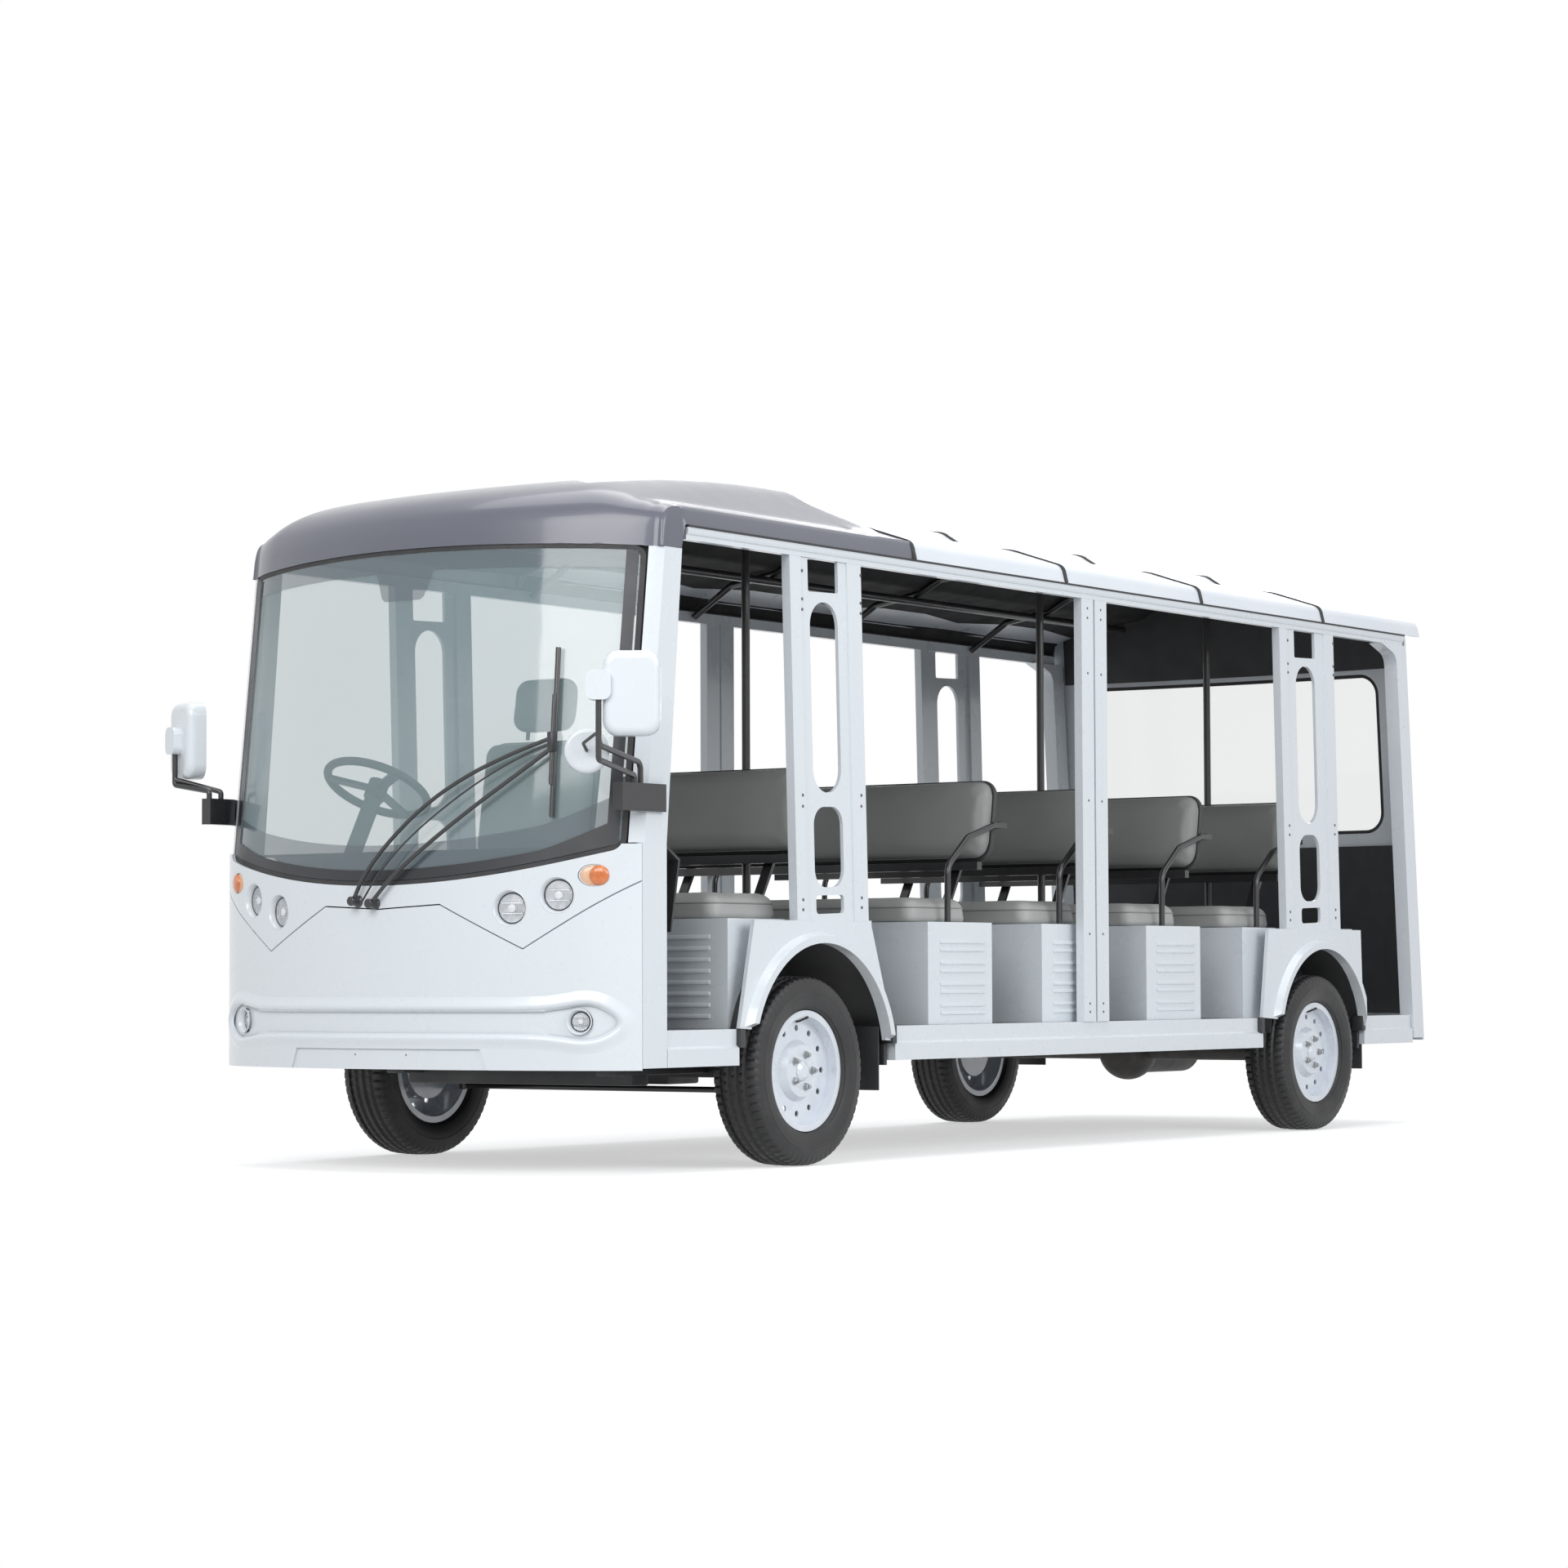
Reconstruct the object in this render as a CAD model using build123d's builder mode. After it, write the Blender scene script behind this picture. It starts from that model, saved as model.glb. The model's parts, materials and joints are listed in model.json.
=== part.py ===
"""Open-sided electric passenger bus for airports: a full-size articulated model in millimetres.

The nose points along -Y, the left side along +X and up is +Z.
The origin is on the floor below the middle of the whole bus.
"""

import os
from math import atan2, cos, degrees, pi, radians, sin, sqrt, tan

from build123d import *

os.makedirs("parts", exist_ok=True)

# Overall sizes
LENGTH = 5740
MIRROR_AHEAD = 120
WIPER_REACH = 36
BODY_HALF = 858
FRONT_OVERHANG = 1102
REAR_OVERHANG = 1028
NOSE_Y = -LENGTH / 2 + MIRROR_AHEAD
TAIL_Y = LENGTH / 2
FRONT_AXLE_Y = NOSE_Y + FRONT_OVERHANG
REAR_AXLE_Y = TAIL_Y - REAR_OVERHANG
WHEELBASE = REAR_AXLE_Y - FRONT_AXLE_Y

# Heights above the floor
SKIRT_Z = 325
SILL_STEP_Z = 386
FLOOR_Z = 445
FLOOR_T = 20
SEAT_BOX_Z = 795
LEAN_Z = 900
RAIL_Z = 1969
GUTTER_Z = 2008
GUTTER_T = 6
ROOF_Z = GUTTER_Z + GUTTER_T

# Walls and running gaps
PANEL_T = 12
GLASS_T = 6
ROOF_T = 14
SEAM = 4
SEAT_GAP = 0.3
MOVE_GAP = 6

# Wheels
TYRE_R = 306
TYRE_W = 185
BEAD_R = 180
RIM_HOLES = 12
RIM_HOLE_R = 10
RIM_HOLE_RING_R = 138
TRACK_HALF = BODY_HALF - 73
AXLE_Z = TYRE_R
DRUM_R = 112
SPINDLE_R = 22
SHAFT_GAP = 0.05

# Steering
KINGPIN_X = TRACK_HALF - 95
KINGPIN_R = 16
KINGPIN_GAP = 0.05
STEER_ARM = 128
TIE_ROD_X = KINGPIN_X
TIE_ROD_Z = 236

# Front end in plan and from the front
BOW_R = 1950
BOW_X = BODY_HALF - 178
CORNER_X = BODY_HALF - 20
CORNER_RUN = 92
CORNER_R = 18
SEAM_TIP = (BODY_HALF - 337, 699)
SEAM_PEAK = (236, 838)
SEAM_DIP_Z = 826
SEAM_END_Z = 905
SCREEN_HALF = BODY_HALF - 58
SCREEN_SIDE_Z = 1016
SCREEN_LOW_Z = 912
SCREEN_TOP_Z = 1950
SCREEN_TOP_SIDE_Z = 1926
SCREEN_LEAN = 6.6
SCREEN_CORNER_R = 26
SEAL_W = 14

# Pillars
PILLAR_DEPTH = 122
PILLAR_W = 38
PILLAR_FRONT_Y = FRONT_AXLE_Y - 866
PILLAR_TOP_Z = 1938

# Roof section from the gutter to the middle: x, z, corner radius
ROOF_SECTION = (
    (BODY_HALF + 8, ROOF_Z, 0),
    (BODY_HALF - 7, 2074, 42),
    (BODY_HALF - 218, 2143, 160),
    (428, 2170, 60),
    (338, 2228, 70),
    (0, 2262, 900),
)
ROOF_FRONT_Y = FRONT_AXLE_Y + 630
ROOF_REAR_Y = REAR_AXLE_Y + 940
STRIP_W = 18
STRIP_H = 4
STRIP_PITCH = (ROOF_REAR_Y - ROOF_FRONT_Y - 860) / 3

# Front roof cap: side line from the windscreen's top to the raised roof, y from the front axle and z
CAP_LINE = ((-1003, 1960), (-992, 2060), (-905, 2150), (-390, 2225), (100, 2276), (380, 2290))
CAP_LINE_R = (60, 90, 900, 500)
HUMP_END = (660, 2150)
HUMP_END_R = 150
CAP_T = 14
HUMP_SECTION = ((842, 2000, 0), (742, 2104, 70), (450, 2282, 110), (0, 2330, 900))

# Seats: distance of each row's back behind the front axle
ROW_ONE = 100
ROW_TWO = 1235
ROW_LAST = WHEELBASE - 50
ROW_ROOM = 700
ROW_STEPS = int((ROW_LAST - ROW_TWO) / ROW_ROOM)
ROW_PITCH = (ROW_LAST - ROW_TWO) / ROW_STEPS
ROW_BACKS = (ROW_ONE,) + tuple(ROW_TWO + i * ROW_PITCH for i in range(ROW_STEPS + 1))
BOX_HALF = BODY_HALF - 58
BENCH_HALF = BOX_HALF - 58
BOX_T = 8
CUSHION_DEPTH = 386
CUSHION_T = 82
BACK_LOW_Z = 1023
BACK_H = 290
BACK_T = 74
BACK_LEAN = 9
DRIVER_X = -400

# Arches: distance of the arch's centre behind the axle, its height and radius
FRONT_ARCH = (70, 328, 390)
REAR_ARCH = (40, 350, 363)
LIP_W = 42
LIP_OUT = 27
FENDER_T = 14
FENDER_Z = 790


def row_y(behind_axle):
    """Place along the bus of a point given by its distance behind the front axle."""
    return FRONT_AXLE_Y + behind_axle


def save(piece, label):
    piece.label = label
    export_step(piece, f"parts/{label}.step")


def bow_angle(x):
    return degrees(atan2(x, sqrt(BOW_R**2 - x**2)))


def bow_y(x):
    """Plan curve of the nose."""
    return NOSE_Y + BOW_R - sqrt(BOW_R**2 - x**2)


def bow_plane(x, z, inset=0):
    """Plane on the nose's skin at one place, with its normal pointing out of the skin."""
    turn = radians(bow_angle(x))
    normal = Vector(sin(turn), -cos(turn), 0)
    place = Vector(x, bow_y(x), z) - normal * inset
    return Plane(origin=place, x_dir=(cos(turn), sin(turn), 0), z_dir=normal)


def nose_plan(plane, back_y, inset=0):
    """Closed plan of the front end: shallow bow, turned corners and straight sides."""
    with BuildSketch(plane) as plan:
        with BuildLine():
            bow = ThreePointArc((-BOW_X, bow_y(BOW_X)), (0, NOSE_Y), (BOW_X, bow_y(BOW_X)))
            left = TangentArc(bow @ 1, (CORNER_X, bow_y(BOW_X) + CORNER_RUN), tangent=bow % 1)
            right = TangentArc(bow @ 0, (-CORNER_X, bow_y(BOW_X) + CORNER_RUN), tangent=-(bow % 0))
            Polyline(
                left @ 1,
                (BODY_HALF, (left @ 1).Y + CORNER_R),
                (BODY_HALF, back_y),
                (-BODY_HALF, back_y),
                (-BODY_HALF, (right @ 1).Y + CORNER_R),
                right @ 1,
            )
        make_face()
        if inset:
            offset(amount=-inset, mode=Mode.REPLACE)
    return plan.sketch


def nose_wall(z, thick, inset=0):
    """Plan of a wall of one thickness along the nose, open towards the cabin."""
    with BuildSketch(Plane.XY.offset(z)) as wall:
        add(nose_plan(Plane.XY, NOSE_BACK_Y + 100, inset))
        add(nose_plan(Plane.XY, NOSE_BACK_Y + 200, inset + thick), mode=Mode.SUBTRACT)
        with Locations((0, NOSE_BACK_Y)):
            Rectangle(3 * BODY_HALF, 400, align=(Align.CENTER, Align.MIN), mode=Mode.SUBTRACT)
    return wall.sketch


def front_view(face, mode):
    """Cut or keep what lies behind a front view drawn in x and z."""
    extrude(face, amount=LENGTH / 2 + 100, mode=mode)


def screen_outline(grow):
    """Windscreen seen from the front: smiling lower edge, slightly arched top."""
    half = SCREEN_HALF + grow
    low_side = SCREEN_SIDE_Z - grow
    top_side = SCREEN_TOP_SIDE_Z + grow
    with BuildSketch(Plane.XZ) as screen:
        with BuildLine():
            low = ThreePointArc((-half, low_side), (0, SCREEN_LOW_Z - grow), (half, low_side))
            top = ThreePointArc((half, top_side), (0, SCREEN_TOP_Z + grow), (-half, top_side))
            Line(low @ 1, top @ 0)
            Line(top @ 1, low @ 0)
        make_face()
        fillet(screen.vertices(), radius=SCREEN_CORNER_R + grow)
    return screen.sketch


def seam_region(widen=0):
    """Front view of everything above the seam under the headlamps."""
    tip_x, tip_z = SEAM_TIP
    peak_x, peak_z = SEAM_PEAK
    with BuildSketch(Plane.XZ) as region:
        with BuildLine():
            Polyline(
                (-2 * BODY_HALF, SEAM_END_Z),
                (-BODY_HALF, SEAM_END_Z),
                (-tip_x, tip_z),
                (-peak_x, peak_z),
                (0, SEAM_DIP_Z),
                (peak_x, peak_z),
                (tip_x, tip_z),
                (BODY_HALF, SEAM_END_Z),
                (2 * BODY_HALF, SEAM_END_Z),
                (2 * BODY_HALF, ROOF_Z),
                (-2 * BODY_HALF, ROOF_Z),
                close=True,
            )
        make_face()
        if widen:
            offset(amount=widen)
    return region.sketch


def lean_shift(z):
    """How far the leaning front has moved back at one height."""
    return (z - LEAN_Z) * tan(radians(SCREEN_LEAN))


def leaning(face, height, mode=Mode.ADD):
    """Rise from a plan drawn at LEAN_Z and lean back as the windscreen does."""
    lean = radians(SCREEN_LEAN)
    extrude(face, amount=height / cos(lean), dir=(0, sin(lean), cos(lean)), mode=mode)


# Lamps on the nose: x, z, radius
HEADLAMPS = ((BODY_HALF - 229, 861, 57), (BODY_HALF - 379, 822, 57))
FOG_LAMP = (BODY_HALF - 162, 474, 40)
TURN_LAMP = (BODY_HALF - 119, 920, 50, 34)
LAMP_GAP = SEAT_GAP
LAMP_DEPTH = 22

# Bumper groove from the front: the straight middle and the eye-shaped ends
GROOVE_LOW_Z = 435
GROOVE_TOP_Z = 506
GROOVE_X = BODY_HALF - 268
EYE_TOP = (BODY_HALF - 142, 530)
EYE_TIP = (BODY_HALF - 46, 470)
EYE_LOW = (BODY_HALF - 142, 415)
GROOVE_DEEP = 11
PLATE_TOP_X = 372
PLATE_LOW_X = 404
PLATE_TOP_Z = 405
PLATE_DEEP = 6
PLATE_HOLE_X = 105
PLATE_HOLE_Z = 370
PLATE_HOLE_R = 3.5


def groove_outline():
    with BuildSketch(Plane.XZ) as groove:
        with BuildLine():
            for side in (1, -1):
                Line((0, GROOVE_TOP_Z), (side * GROOVE_X, GROOVE_TOP_Z))
                upper = ThreePointArc(
                    (side * GROOVE_X, GROOVE_TOP_Z),
                    (side * EYE_TOP[0], EYE_TOP[1]),
                    (side * EYE_TIP[0], EYE_TIP[1]),
                )
                ThreePointArc(upper @ 1, (side * EYE_LOW[0], EYE_LOW[1]), (side * GROOVE_X, GROOVE_LOW_Z))
                Line((side * GROOVE_X, GROOVE_LOW_Z), (0, GROOVE_LOW_Z))
        make_face()
    return groove.sketch


def plate_outline():
    with BuildSketch(Plane.XZ) as plate:
        with BuildLine():
            Polyline(
                (-PLATE_LOW_X, SKIRT_Z - 1),
                (-PLATE_TOP_X, PLATE_TOP_Z),
                (PLATE_TOP_X, PLATE_TOP_Z),
                (PLATE_LOW_X, SKIRT_Z - 1),
                close=True,
            )
        make_face()
    return plate.sketch


def nose_recess(outline, deep, top_z):
    """What a shallow recess with a given front view takes out of the nose's skin."""
    with BuildPart() as recess:
        extrude(nose_wall(SKIRT_Z - 2, deep + 20, inset=-20), amount=top_z - SKIRT_Z)
        front_view(outline, Mode.INTERSECT)
    return recess.part


def lamp_holes(extra):
    """Openings for the lamps, square to the skin."""
    with BuildPart() as holes:
        for side in (1, -1):
            for x, z, r in HEADLAMPS + (FOG_LAMP,):
                with BuildSketch(bow_plane(side * x, z)):
                    Circle(r + extra)
                extrude(amount=80, both=True)
            with BuildSketch(bow_plane(side * TURN_LAMP[0], TURN_LAMP[1])):
                Ellipse(TURN_LAMP[2] + extra, TURN_LAMP[3] + extra)
            extrude(amount=80, both=True)
    return holes.part


NOSE_BACK_Y = PILLAR_FRONT_Y - 2

with BuildPart() as front_lower_panel:
    extrude(nose_wall(SKIRT_Z, PANEL_T), amount=SCREEN_SIDE_Z - SKIRT_Z)
    front_view(seam_region(SEAM), Mode.SUBTRACT)
    extrude(nose_wall(SKIRT_Z, PANEL_T, inset=PANEL_T - 1), amount=EYE_TOP[1] + 30 - SKIRT_Z)
    add(nose_recess(groove_outline(), GROOVE_DEEP, EYE_TOP[1] + 30), mode=Mode.SUBTRACT)
    add(nose_recess(plate_outline(), PLATE_DEEP, PLATE_TOP_Z + 30), mode=Mode.SUBTRACT)
    add(lamp_holes(LAMP_GAP), mode=Mode.SUBTRACT)
    with BuildSketch(Plane.XZ):
        with Locations((PLATE_HOLE_X, PLATE_HOLE_Z), (-PLATE_HOLE_X, PLATE_HOLE_Z)):
            Circle(PLATE_HOLE_R)
    extrude(amount=LENGTH, mode=Mode.SUBTRACT)
save(front_lower_panel.part, "front_lower_panel")

with BuildPart() as front_upper_panel:
    extrude(nose_wall(SEAM_TIP[1] - 10, PANEL_T), amount=SCREEN_SIDE_Z - SEAM_TIP[1] + 10)
    front_view(seam_region(), Mode.INTERSECT)
    front_view(screen_outline(SEAL_W + SEAT_GAP), Mode.SUBTRACT)
    add(lamp_holes(LAMP_GAP), mode=Mode.SUBTRACT)
save(front_upper_panel.part, "front_upper_panel")


def side_plane(x):
    """Plane at one x that is drawn in y and z."""
    return Plane(origin=(x, 0, 0), x_dir=(0, 1, 0), z_dir=(1, 0, 0))


def tube(path, r):
    """Round tube along a line that was drawn beforehand."""
    with BuildPart() as bar:
        with BuildSketch(Plane(origin=path @ 0, z_dir=path % 0)):
            Circle(r)
        sweep(path=path)
    return bar.part


def bent(points, radius):
    """Line through points with one bend radius, for tubes."""
    with BuildLine() as line:
        FilletPolyline(*points, radius=radius)
    return line.wire()


def both_sides(make):
    """The left piece and its mirror image on the right."""
    with BuildPart() as pair:
        add(make)
        mirror(make, about=Plane.YZ)
    return pair.part


def block(x0, x1, y0, y1, z0, z1):
    """Plain box between two corners."""
    with BuildPart() as body:
        with Locations(((x0 + x1) / 2, (y0 + y1) / 2, (z0 + z1) / 2)):
            Box(abs(x1 - x0), abs(y1 - y0), abs(z1 - z0))
    return body.part


# Windscreen, its rubber and the rear window's rubber
SCREEN_INSET = 5
SCREEN_RISE = 1120
REAR_LEAN = 4.5
REAR_BOW = 60
REAR_T = 14
REAR_WINDOW = (BODY_HALF - 158, 1215, 1850, 74)
REAR_LOW_Z = 341


def rear_plan(z, thick, inset=0):
    """Plan of the rear wall: a strip with a slight bow."""
    lean = (z - REAR_LOW_Z) * tan(radians(REAR_LEAN))
    corner_y = TAIL_Y - REAR_BOW - lean
    with BuildSketch(Plane.XY.offset(z)) as plan:
        with BuildLine():
            outer = ThreePointArc(
                (-BODY_HALF, corner_y - inset), (0, TAIL_Y - lean - inset), (BODY_HALF, corner_y - inset)
            )
            inner = ThreePointArc(
                (BODY_HALF, corner_y - inset - thick),
                (0, TAIL_Y - lean - inset - thick),
                (-BODY_HALF, corner_y - inset - thick),
            )
            Line(outer @ 1, inner @ 0)
            Line(inner @ 1, outer @ 0)
        make_face()
    return plan.sketch


def rear_rise(face, height):
    lean = radians(REAR_LEAN)
    extrude(face, amount=height / cos(lean), dir=(0, -sin(lean), cos(lean)))


def rear_window_outline(grow):
    half, low, top, corner = REAR_WINDOW
    with BuildSketch(Plane.XZ) as window:
        with Locations((0, (low + top) / 2)):
            RectangleRounded(2 * (half + grow), top - low + 2 * grow, corner + grow)
    return window.sketch


def rear_view(face, mode):
    """Cut or keep what lies behind a rear view drawn in x and z."""
    extrude(face, amount=-LENGTH / 2 - 100, mode=mode)


with BuildPart() as windscreen:
    leaning(nose_wall(LEAN_Z, GLASS_T, inset=SCREEN_INSET), SCREEN_RISE)
    front_view(screen_outline(0), Mode.INTERSECT)

with BuildPart() as rear_window:
    rear_rise(rear_plan(REAR_LOW_Z, GLASS_T, inset=4), 1800)
    rear_view(rear_window_outline(0), Mode.INTERSECT)
save(Compound(children=[windscreen.part, rear_window.part]), "window_glass")

def seal_ring(outline):
    """Front or rear view of the rubber round one window."""
    with BuildSketch(Plane.XZ) as ring:
        add(outline(SEAL_W))
        add(outline(SEAT_GAP), mode=Mode.SUBTRACT)
    return ring.sketch


with BuildPart() as front_seal:
    leaning(nose_wall(LEAN_Z, GLASS_T + 4, inset=SCREEN_INSET - 3), SCREEN_RISE)
    front_view(seal_ring(screen_outline), Mode.INTERSECT)
with BuildPart() as window_seals:
    rear_rise(rear_plan(REAR_LOW_Z, GLASS_T + 8, inset=0), 1800)
    rear_view(seal_ring(rear_window_outline), Mode.INTERSECT)
    add(front_seal.part)
save(window_seals.part, "window_seals")

# Front pillars: upright below the windscreen's corner and leaning beside it
PILLAR_BACK_Y = PILLAR_FRONT_Y + PILLAR_DEPTH
PILLAR_BEND_Z = SCREEN_SIDE_Z + SEAM
PILLAR_REAR_TOP_Y = PILLAR_BACK_Y + 82


def pillar_plan(z, back_y, front_y):
    with BuildSketch(Plane.XY.offset(z)) as plan:
        add(nose_plan(Plane.XY, back_y))
        with Locations((BODY_HALF, front_y)):
            Rectangle(2 * PILLAR_W, back_y - front_y, align=(Align.CENTER, Align.MIN), mode=Mode.INTERSECT)
    return plan.sketch


with BuildPart() as left_pillar:
    leaning(pillar_plan(LEAN_Z, PILLAR_BACK_Y, NOSE_Y), PILLAR_TOP_Z - LEAN_Z)
    add(block(0, 2 * BODY_HALF, NOSE_Y, 0, LEAN_Z - 1, PILLAR_BEND_Z), mode=Mode.SUBTRACT)
    with BuildSketch(side_plane(0)):
        with BuildLine():
            Polyline(
                (PILLAR_BACK_Y, PILLAR_BEND_Z),
                (PILLAR_REAR_TOP_Y, PILLAR_TOP_Z),
                (PILLAR_REAR_TOP_Y, PILLAR_TOP_Z + 9),
                (0, PILLAR_TOP_Z + 9),
                (0, PILLAR_BEND_Z),
                close=True,
            )
        make_face()
    extrude(amount=2 * BODY_HALF, mode=Mode.SUBTRACT)
    extrude(pillar_plan(SKIRT_Z + 6, PILLAR_BACK_Y, PILLAR_FRONT_Y), amount=PILLAR_BEND_Z - SKIRT_Z - 6)

# Roof: side shoulders with a raised middle, in front the higher cap
RAIL_FRONT_Y = row_y(-638)
RAIL_REAR_Y = REAR_AXLE_Y + 800
RAIL_IN = BODY_HALF - 32
RAIL_OUT = BODY_HALF + 6


def mirrored_section(y, rows, low_z, drop=0):
    """Closed section across the bus from half a table of x, z and corner radius."""
    half = [(x - drop if x else 0, z - drop) for x, z, r in rows]
    other = [(-x, z) for x, z in reversed(half[:-1])]
    bends = [r for x, z, r in rows[1:]]
    with BuildSketch(Plane(origin=(0, y, 0), x_dir=(1, 0, 0), z_dir=(0, -1, 0))) as section:
        with BuildLine():
            skin = FilletPolyline(*half, *other, radius=bends + bends[-2::-1])
            Polyline(skin @ 0, (half[0][0], low_z), (-half[0][0], low_z), skin @ 1)
        make_face()
    return section.sketch


def roof_section(y, lift=0, thick=ROOF_T):
    """Roof skin's section: a wall of one thickness that stands on the gutter."""
    with BuildSketch(Plane(origin=(0, y, 0), x_dir=(1, 0, 0), z_dir=(0, -1, 0))) as section:
        add(mirrored_section(0, ROOF_SECTION, ROOF_Z - 60, -lift).rotate(Axis.X, -90))
        add(mirrored_section(0, ROOF_SECTION, ROOF_Z - 90, thick - lift).rotate(Axis.X, -90), mode=Mode.SUBTRACT)
        with Locations((0, ROOF_Z)):
            Rectangle(4 * BODY_HALF, 400, align=(Align.CENTER, Align.MAX), mode=Mode.SUBTRACT)
    return section.sketch


with BuildPart() as roof_skin:
    extrude(roof_section(ROOF_REAR_Y), amount=ROOF_REAR_Y - ROOF_FRONT_Y)
save(roof_skin.part, "roof_skin")

with BuildPart() as roof_rubber:
    for i in range(4):
        strip_y = ROOF_FRONT_Y + i * STRIP_PITCH
        extrude(roof_section(strip_y + STRIP_W / 2, STRIP_H, STRIP_H - SEAT_GAP), amount=STRIP_W)
    gutter = block(RAIL_IN, RAIL_OUT + 4, RAIL_FRONT_Y, RAIL_REAR_Y, GUTTER_Z, ROOF_Z - SEAT_GAP)
    add(both_sides(gutter))
save(roof_rubber.part, "roof_rubber")


def cap_mass(inset):
    """Outer form of the front roof cap, or of its hollow when inset."""
    side = [(row_y(y) + (inset if i < 3 else 0), z - inset) for i, (y, z) in enumerate(CAP_LINE)]
    end = (row_y(HUMP_END[0]), HUMP_END[1] - inset)
    low_z = CAP_LOW_Z - inset
    with BuildPart() as mass:
        with BuildSketch(side_plane(0)):
            with BuildLine():
                line = FilletPolyline(*side, end, radius=list(CAP_LINE_R) + [HUMP_END_R])
                Polyline(line @ 1, (end[0], low_z), (side[0][0], low_z), line @ 0)
            make_face()
        extrude(amount=2 * BODY_HALF, both=True)
        extrude(mirrored_section(end[0], HUMP_SECTION, low_z - 50, inset), amount=LENGTH / 2, mode=Mode.INTERSECT)
    with BuildPart() as base:
        with BuildSketch(side_plane(0)):
            with BuildLine():
                line = FilletPolyline(*side, radius=list(CAP_LINE_R))
                Polyline(line @ 1, (end[0], side[-1][1]), (end[0], low_z), (side[0][0], low_z), line @ 0)
            make_face()
        extrude(amount=2 * BODY_HALF, both=True)
        extrude(mirrored_section(end[0], ROOF_SECTION, low_z - 50, inset), amount=LENGTH / 2, mode=Mode.INTERSECT)
        add(mass.part)
        leaning(nose_plan(Plane.XY.offset(LEAN_Z), 900, inset + 2), 1600, Mode.INTERSECT)
    return base.part


CAP_LOW_Z = 1935
CAP_FOOT = 78
ELBOW_R = 95
ELBOW_FRONT = 8
ELBOW_W = 44
ELBOW_RISE = 46
CAP_REAR_Y = ROOF_FRONT_Y - STRIP_W / 2 - SEAT_GAP

with BuildPart() as elbow:
    rail_top = ROOF_Z + ELBOW_RISE
    elbow_front = NOSE_Y + 232 + lean_shift(PILLAR_TOP_Z) + ELBOW_FRONT
    with BuildSketch(side_plane(BODY_HALF - PILLAR_W)):
        with BuildLine():
            skin = FilletPolyline(
                (elbow_front, PILLAR_TOP_Z + SEAT_GAP),
                (elbow_front + 62, rail_top + 12),
                (CAP_REAR_Y, ROOF_Z + 20),
                radius=ELBOW_R,
            )
            under = Polyline(
                (CAP_REAR_Y, ROOF_Z),
                (PILLAR_REAR_TOP_Y + 17, ROOF_Z),
                (PILLAR_REAR_TOP_Y, PILLAR_TOP_Z + SEAT_GAP),
            )
            Line(skin @ 1, under @ 0)
            Line(under @ 1, skin @ 0)
        make_face()
    extrude(amount=ELBOW_W)
    fillet(elbow.edges().group_by(Axis.X)[-1].sort_by(Axis.Z)[-3:], radius=14)

with BuildPart() as roof_front_cap:
    add(cap_mass(0))
    add(cap_mass(CAP_T), mode=Mode.SUBTRACT)
    front_view(screen_outline(SEAL_W + 1), Mode.SUBTRACT)
    low_side = PILLAR_FRONT_Y + CAP_FOOT
    add(block(-2 * BODY_HALF, 2 * BODY_HALF, low_side, 0, 0, ROOF_Z), mode=Mode.SUBTRACT)
    add(block(-2 * BODY_HALF, 2 * BODY_HALF, CAP_REAR_Y, 0, 0, 2 * ROOF_Z), mode=Mode.SUBTRACT)
    add(block(BODY_HALF - PILLAR_W, BODY_HALF, NOSE_Y, 0, 0, PILLAR_TOP_Z + SEAT_GAP), mode=Mode.SUBTRACT)
    add(block(-BODY_HALF, PILLAR_W - BODY_HALF, NOSE_Y, 0, 0, PILLAR_TOP_Z + SEAT_GAP), mode=Mode.SUBTRACT)
    add(both_sides(elbow.part))
save(roof_front_cap.part, "roof_front_cap")

# Side rails under the gutter, with a groove along their faces
with BuildPart() as left_rail:
    with BuildSketch(Plane(origin=(0, RAIL_FRONT_Y, 0), x_dir=(1, 0, 0), z_dir=(0, -1, 0))):
        with BuildLine():
            Polyline(
                (RAIL_IN, RAIL_Z),
                (RAIL_OUT - 8, RAIL_Z),
                (RAIL_OUT - 8, RAIL_Z + 14),
                (RAIL_OUT - 3, RAIL_Z + 18),
                (RAIL_OUT, RAIL_Z + 26),
                (RAIL_OUT, GUTTER_Z - SEAT_GAP),
                (RAIL_IN, GUTTER_Z - SEAT_GAP),
                close=True,
            )
        make_face()
    extrude(amount=RAIL_FRONT_Y - RAIL_REAR_Y)
save(both_sides(left_rail.part), "roof_side_rails")

# Side posts: name, y of the foot's front corner behind the front axle, width at the foot
POST_TILT = 1.9
POST_PANELS = ((-45, 406), (WHEELBASE - 228, 452))
POST_STRIP = (62, 80)
POST_FACE = (BODY_HALF - 34, BODY_HALF - 2)
PANEL_FACE = (BODY_HALF - 20, BODY_HALF - 8)
MID_POST = (WHEELBASE / 2 - 14, 82, 11)
# Cut-outs in the panel between two posts: height above the fender, height, width, corner radius
CUTOUTS = (
    (18, 60, 158, 14),
    (104, 262, 166, 60),
    (412, 622, 160, 79),
    (1066, 108, 172, 8),
)


def post_plane(x, y):
    """Plane of a side post: u runs back along the bus, v up and slightly forward."""
    tilt = radians(POST_TILT)
    return Plane(origin=(x, y, FENDER_Z), x_dir=(0, cos(tilt), sin(tilt)), z_dir=(1, 0, 0))


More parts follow.
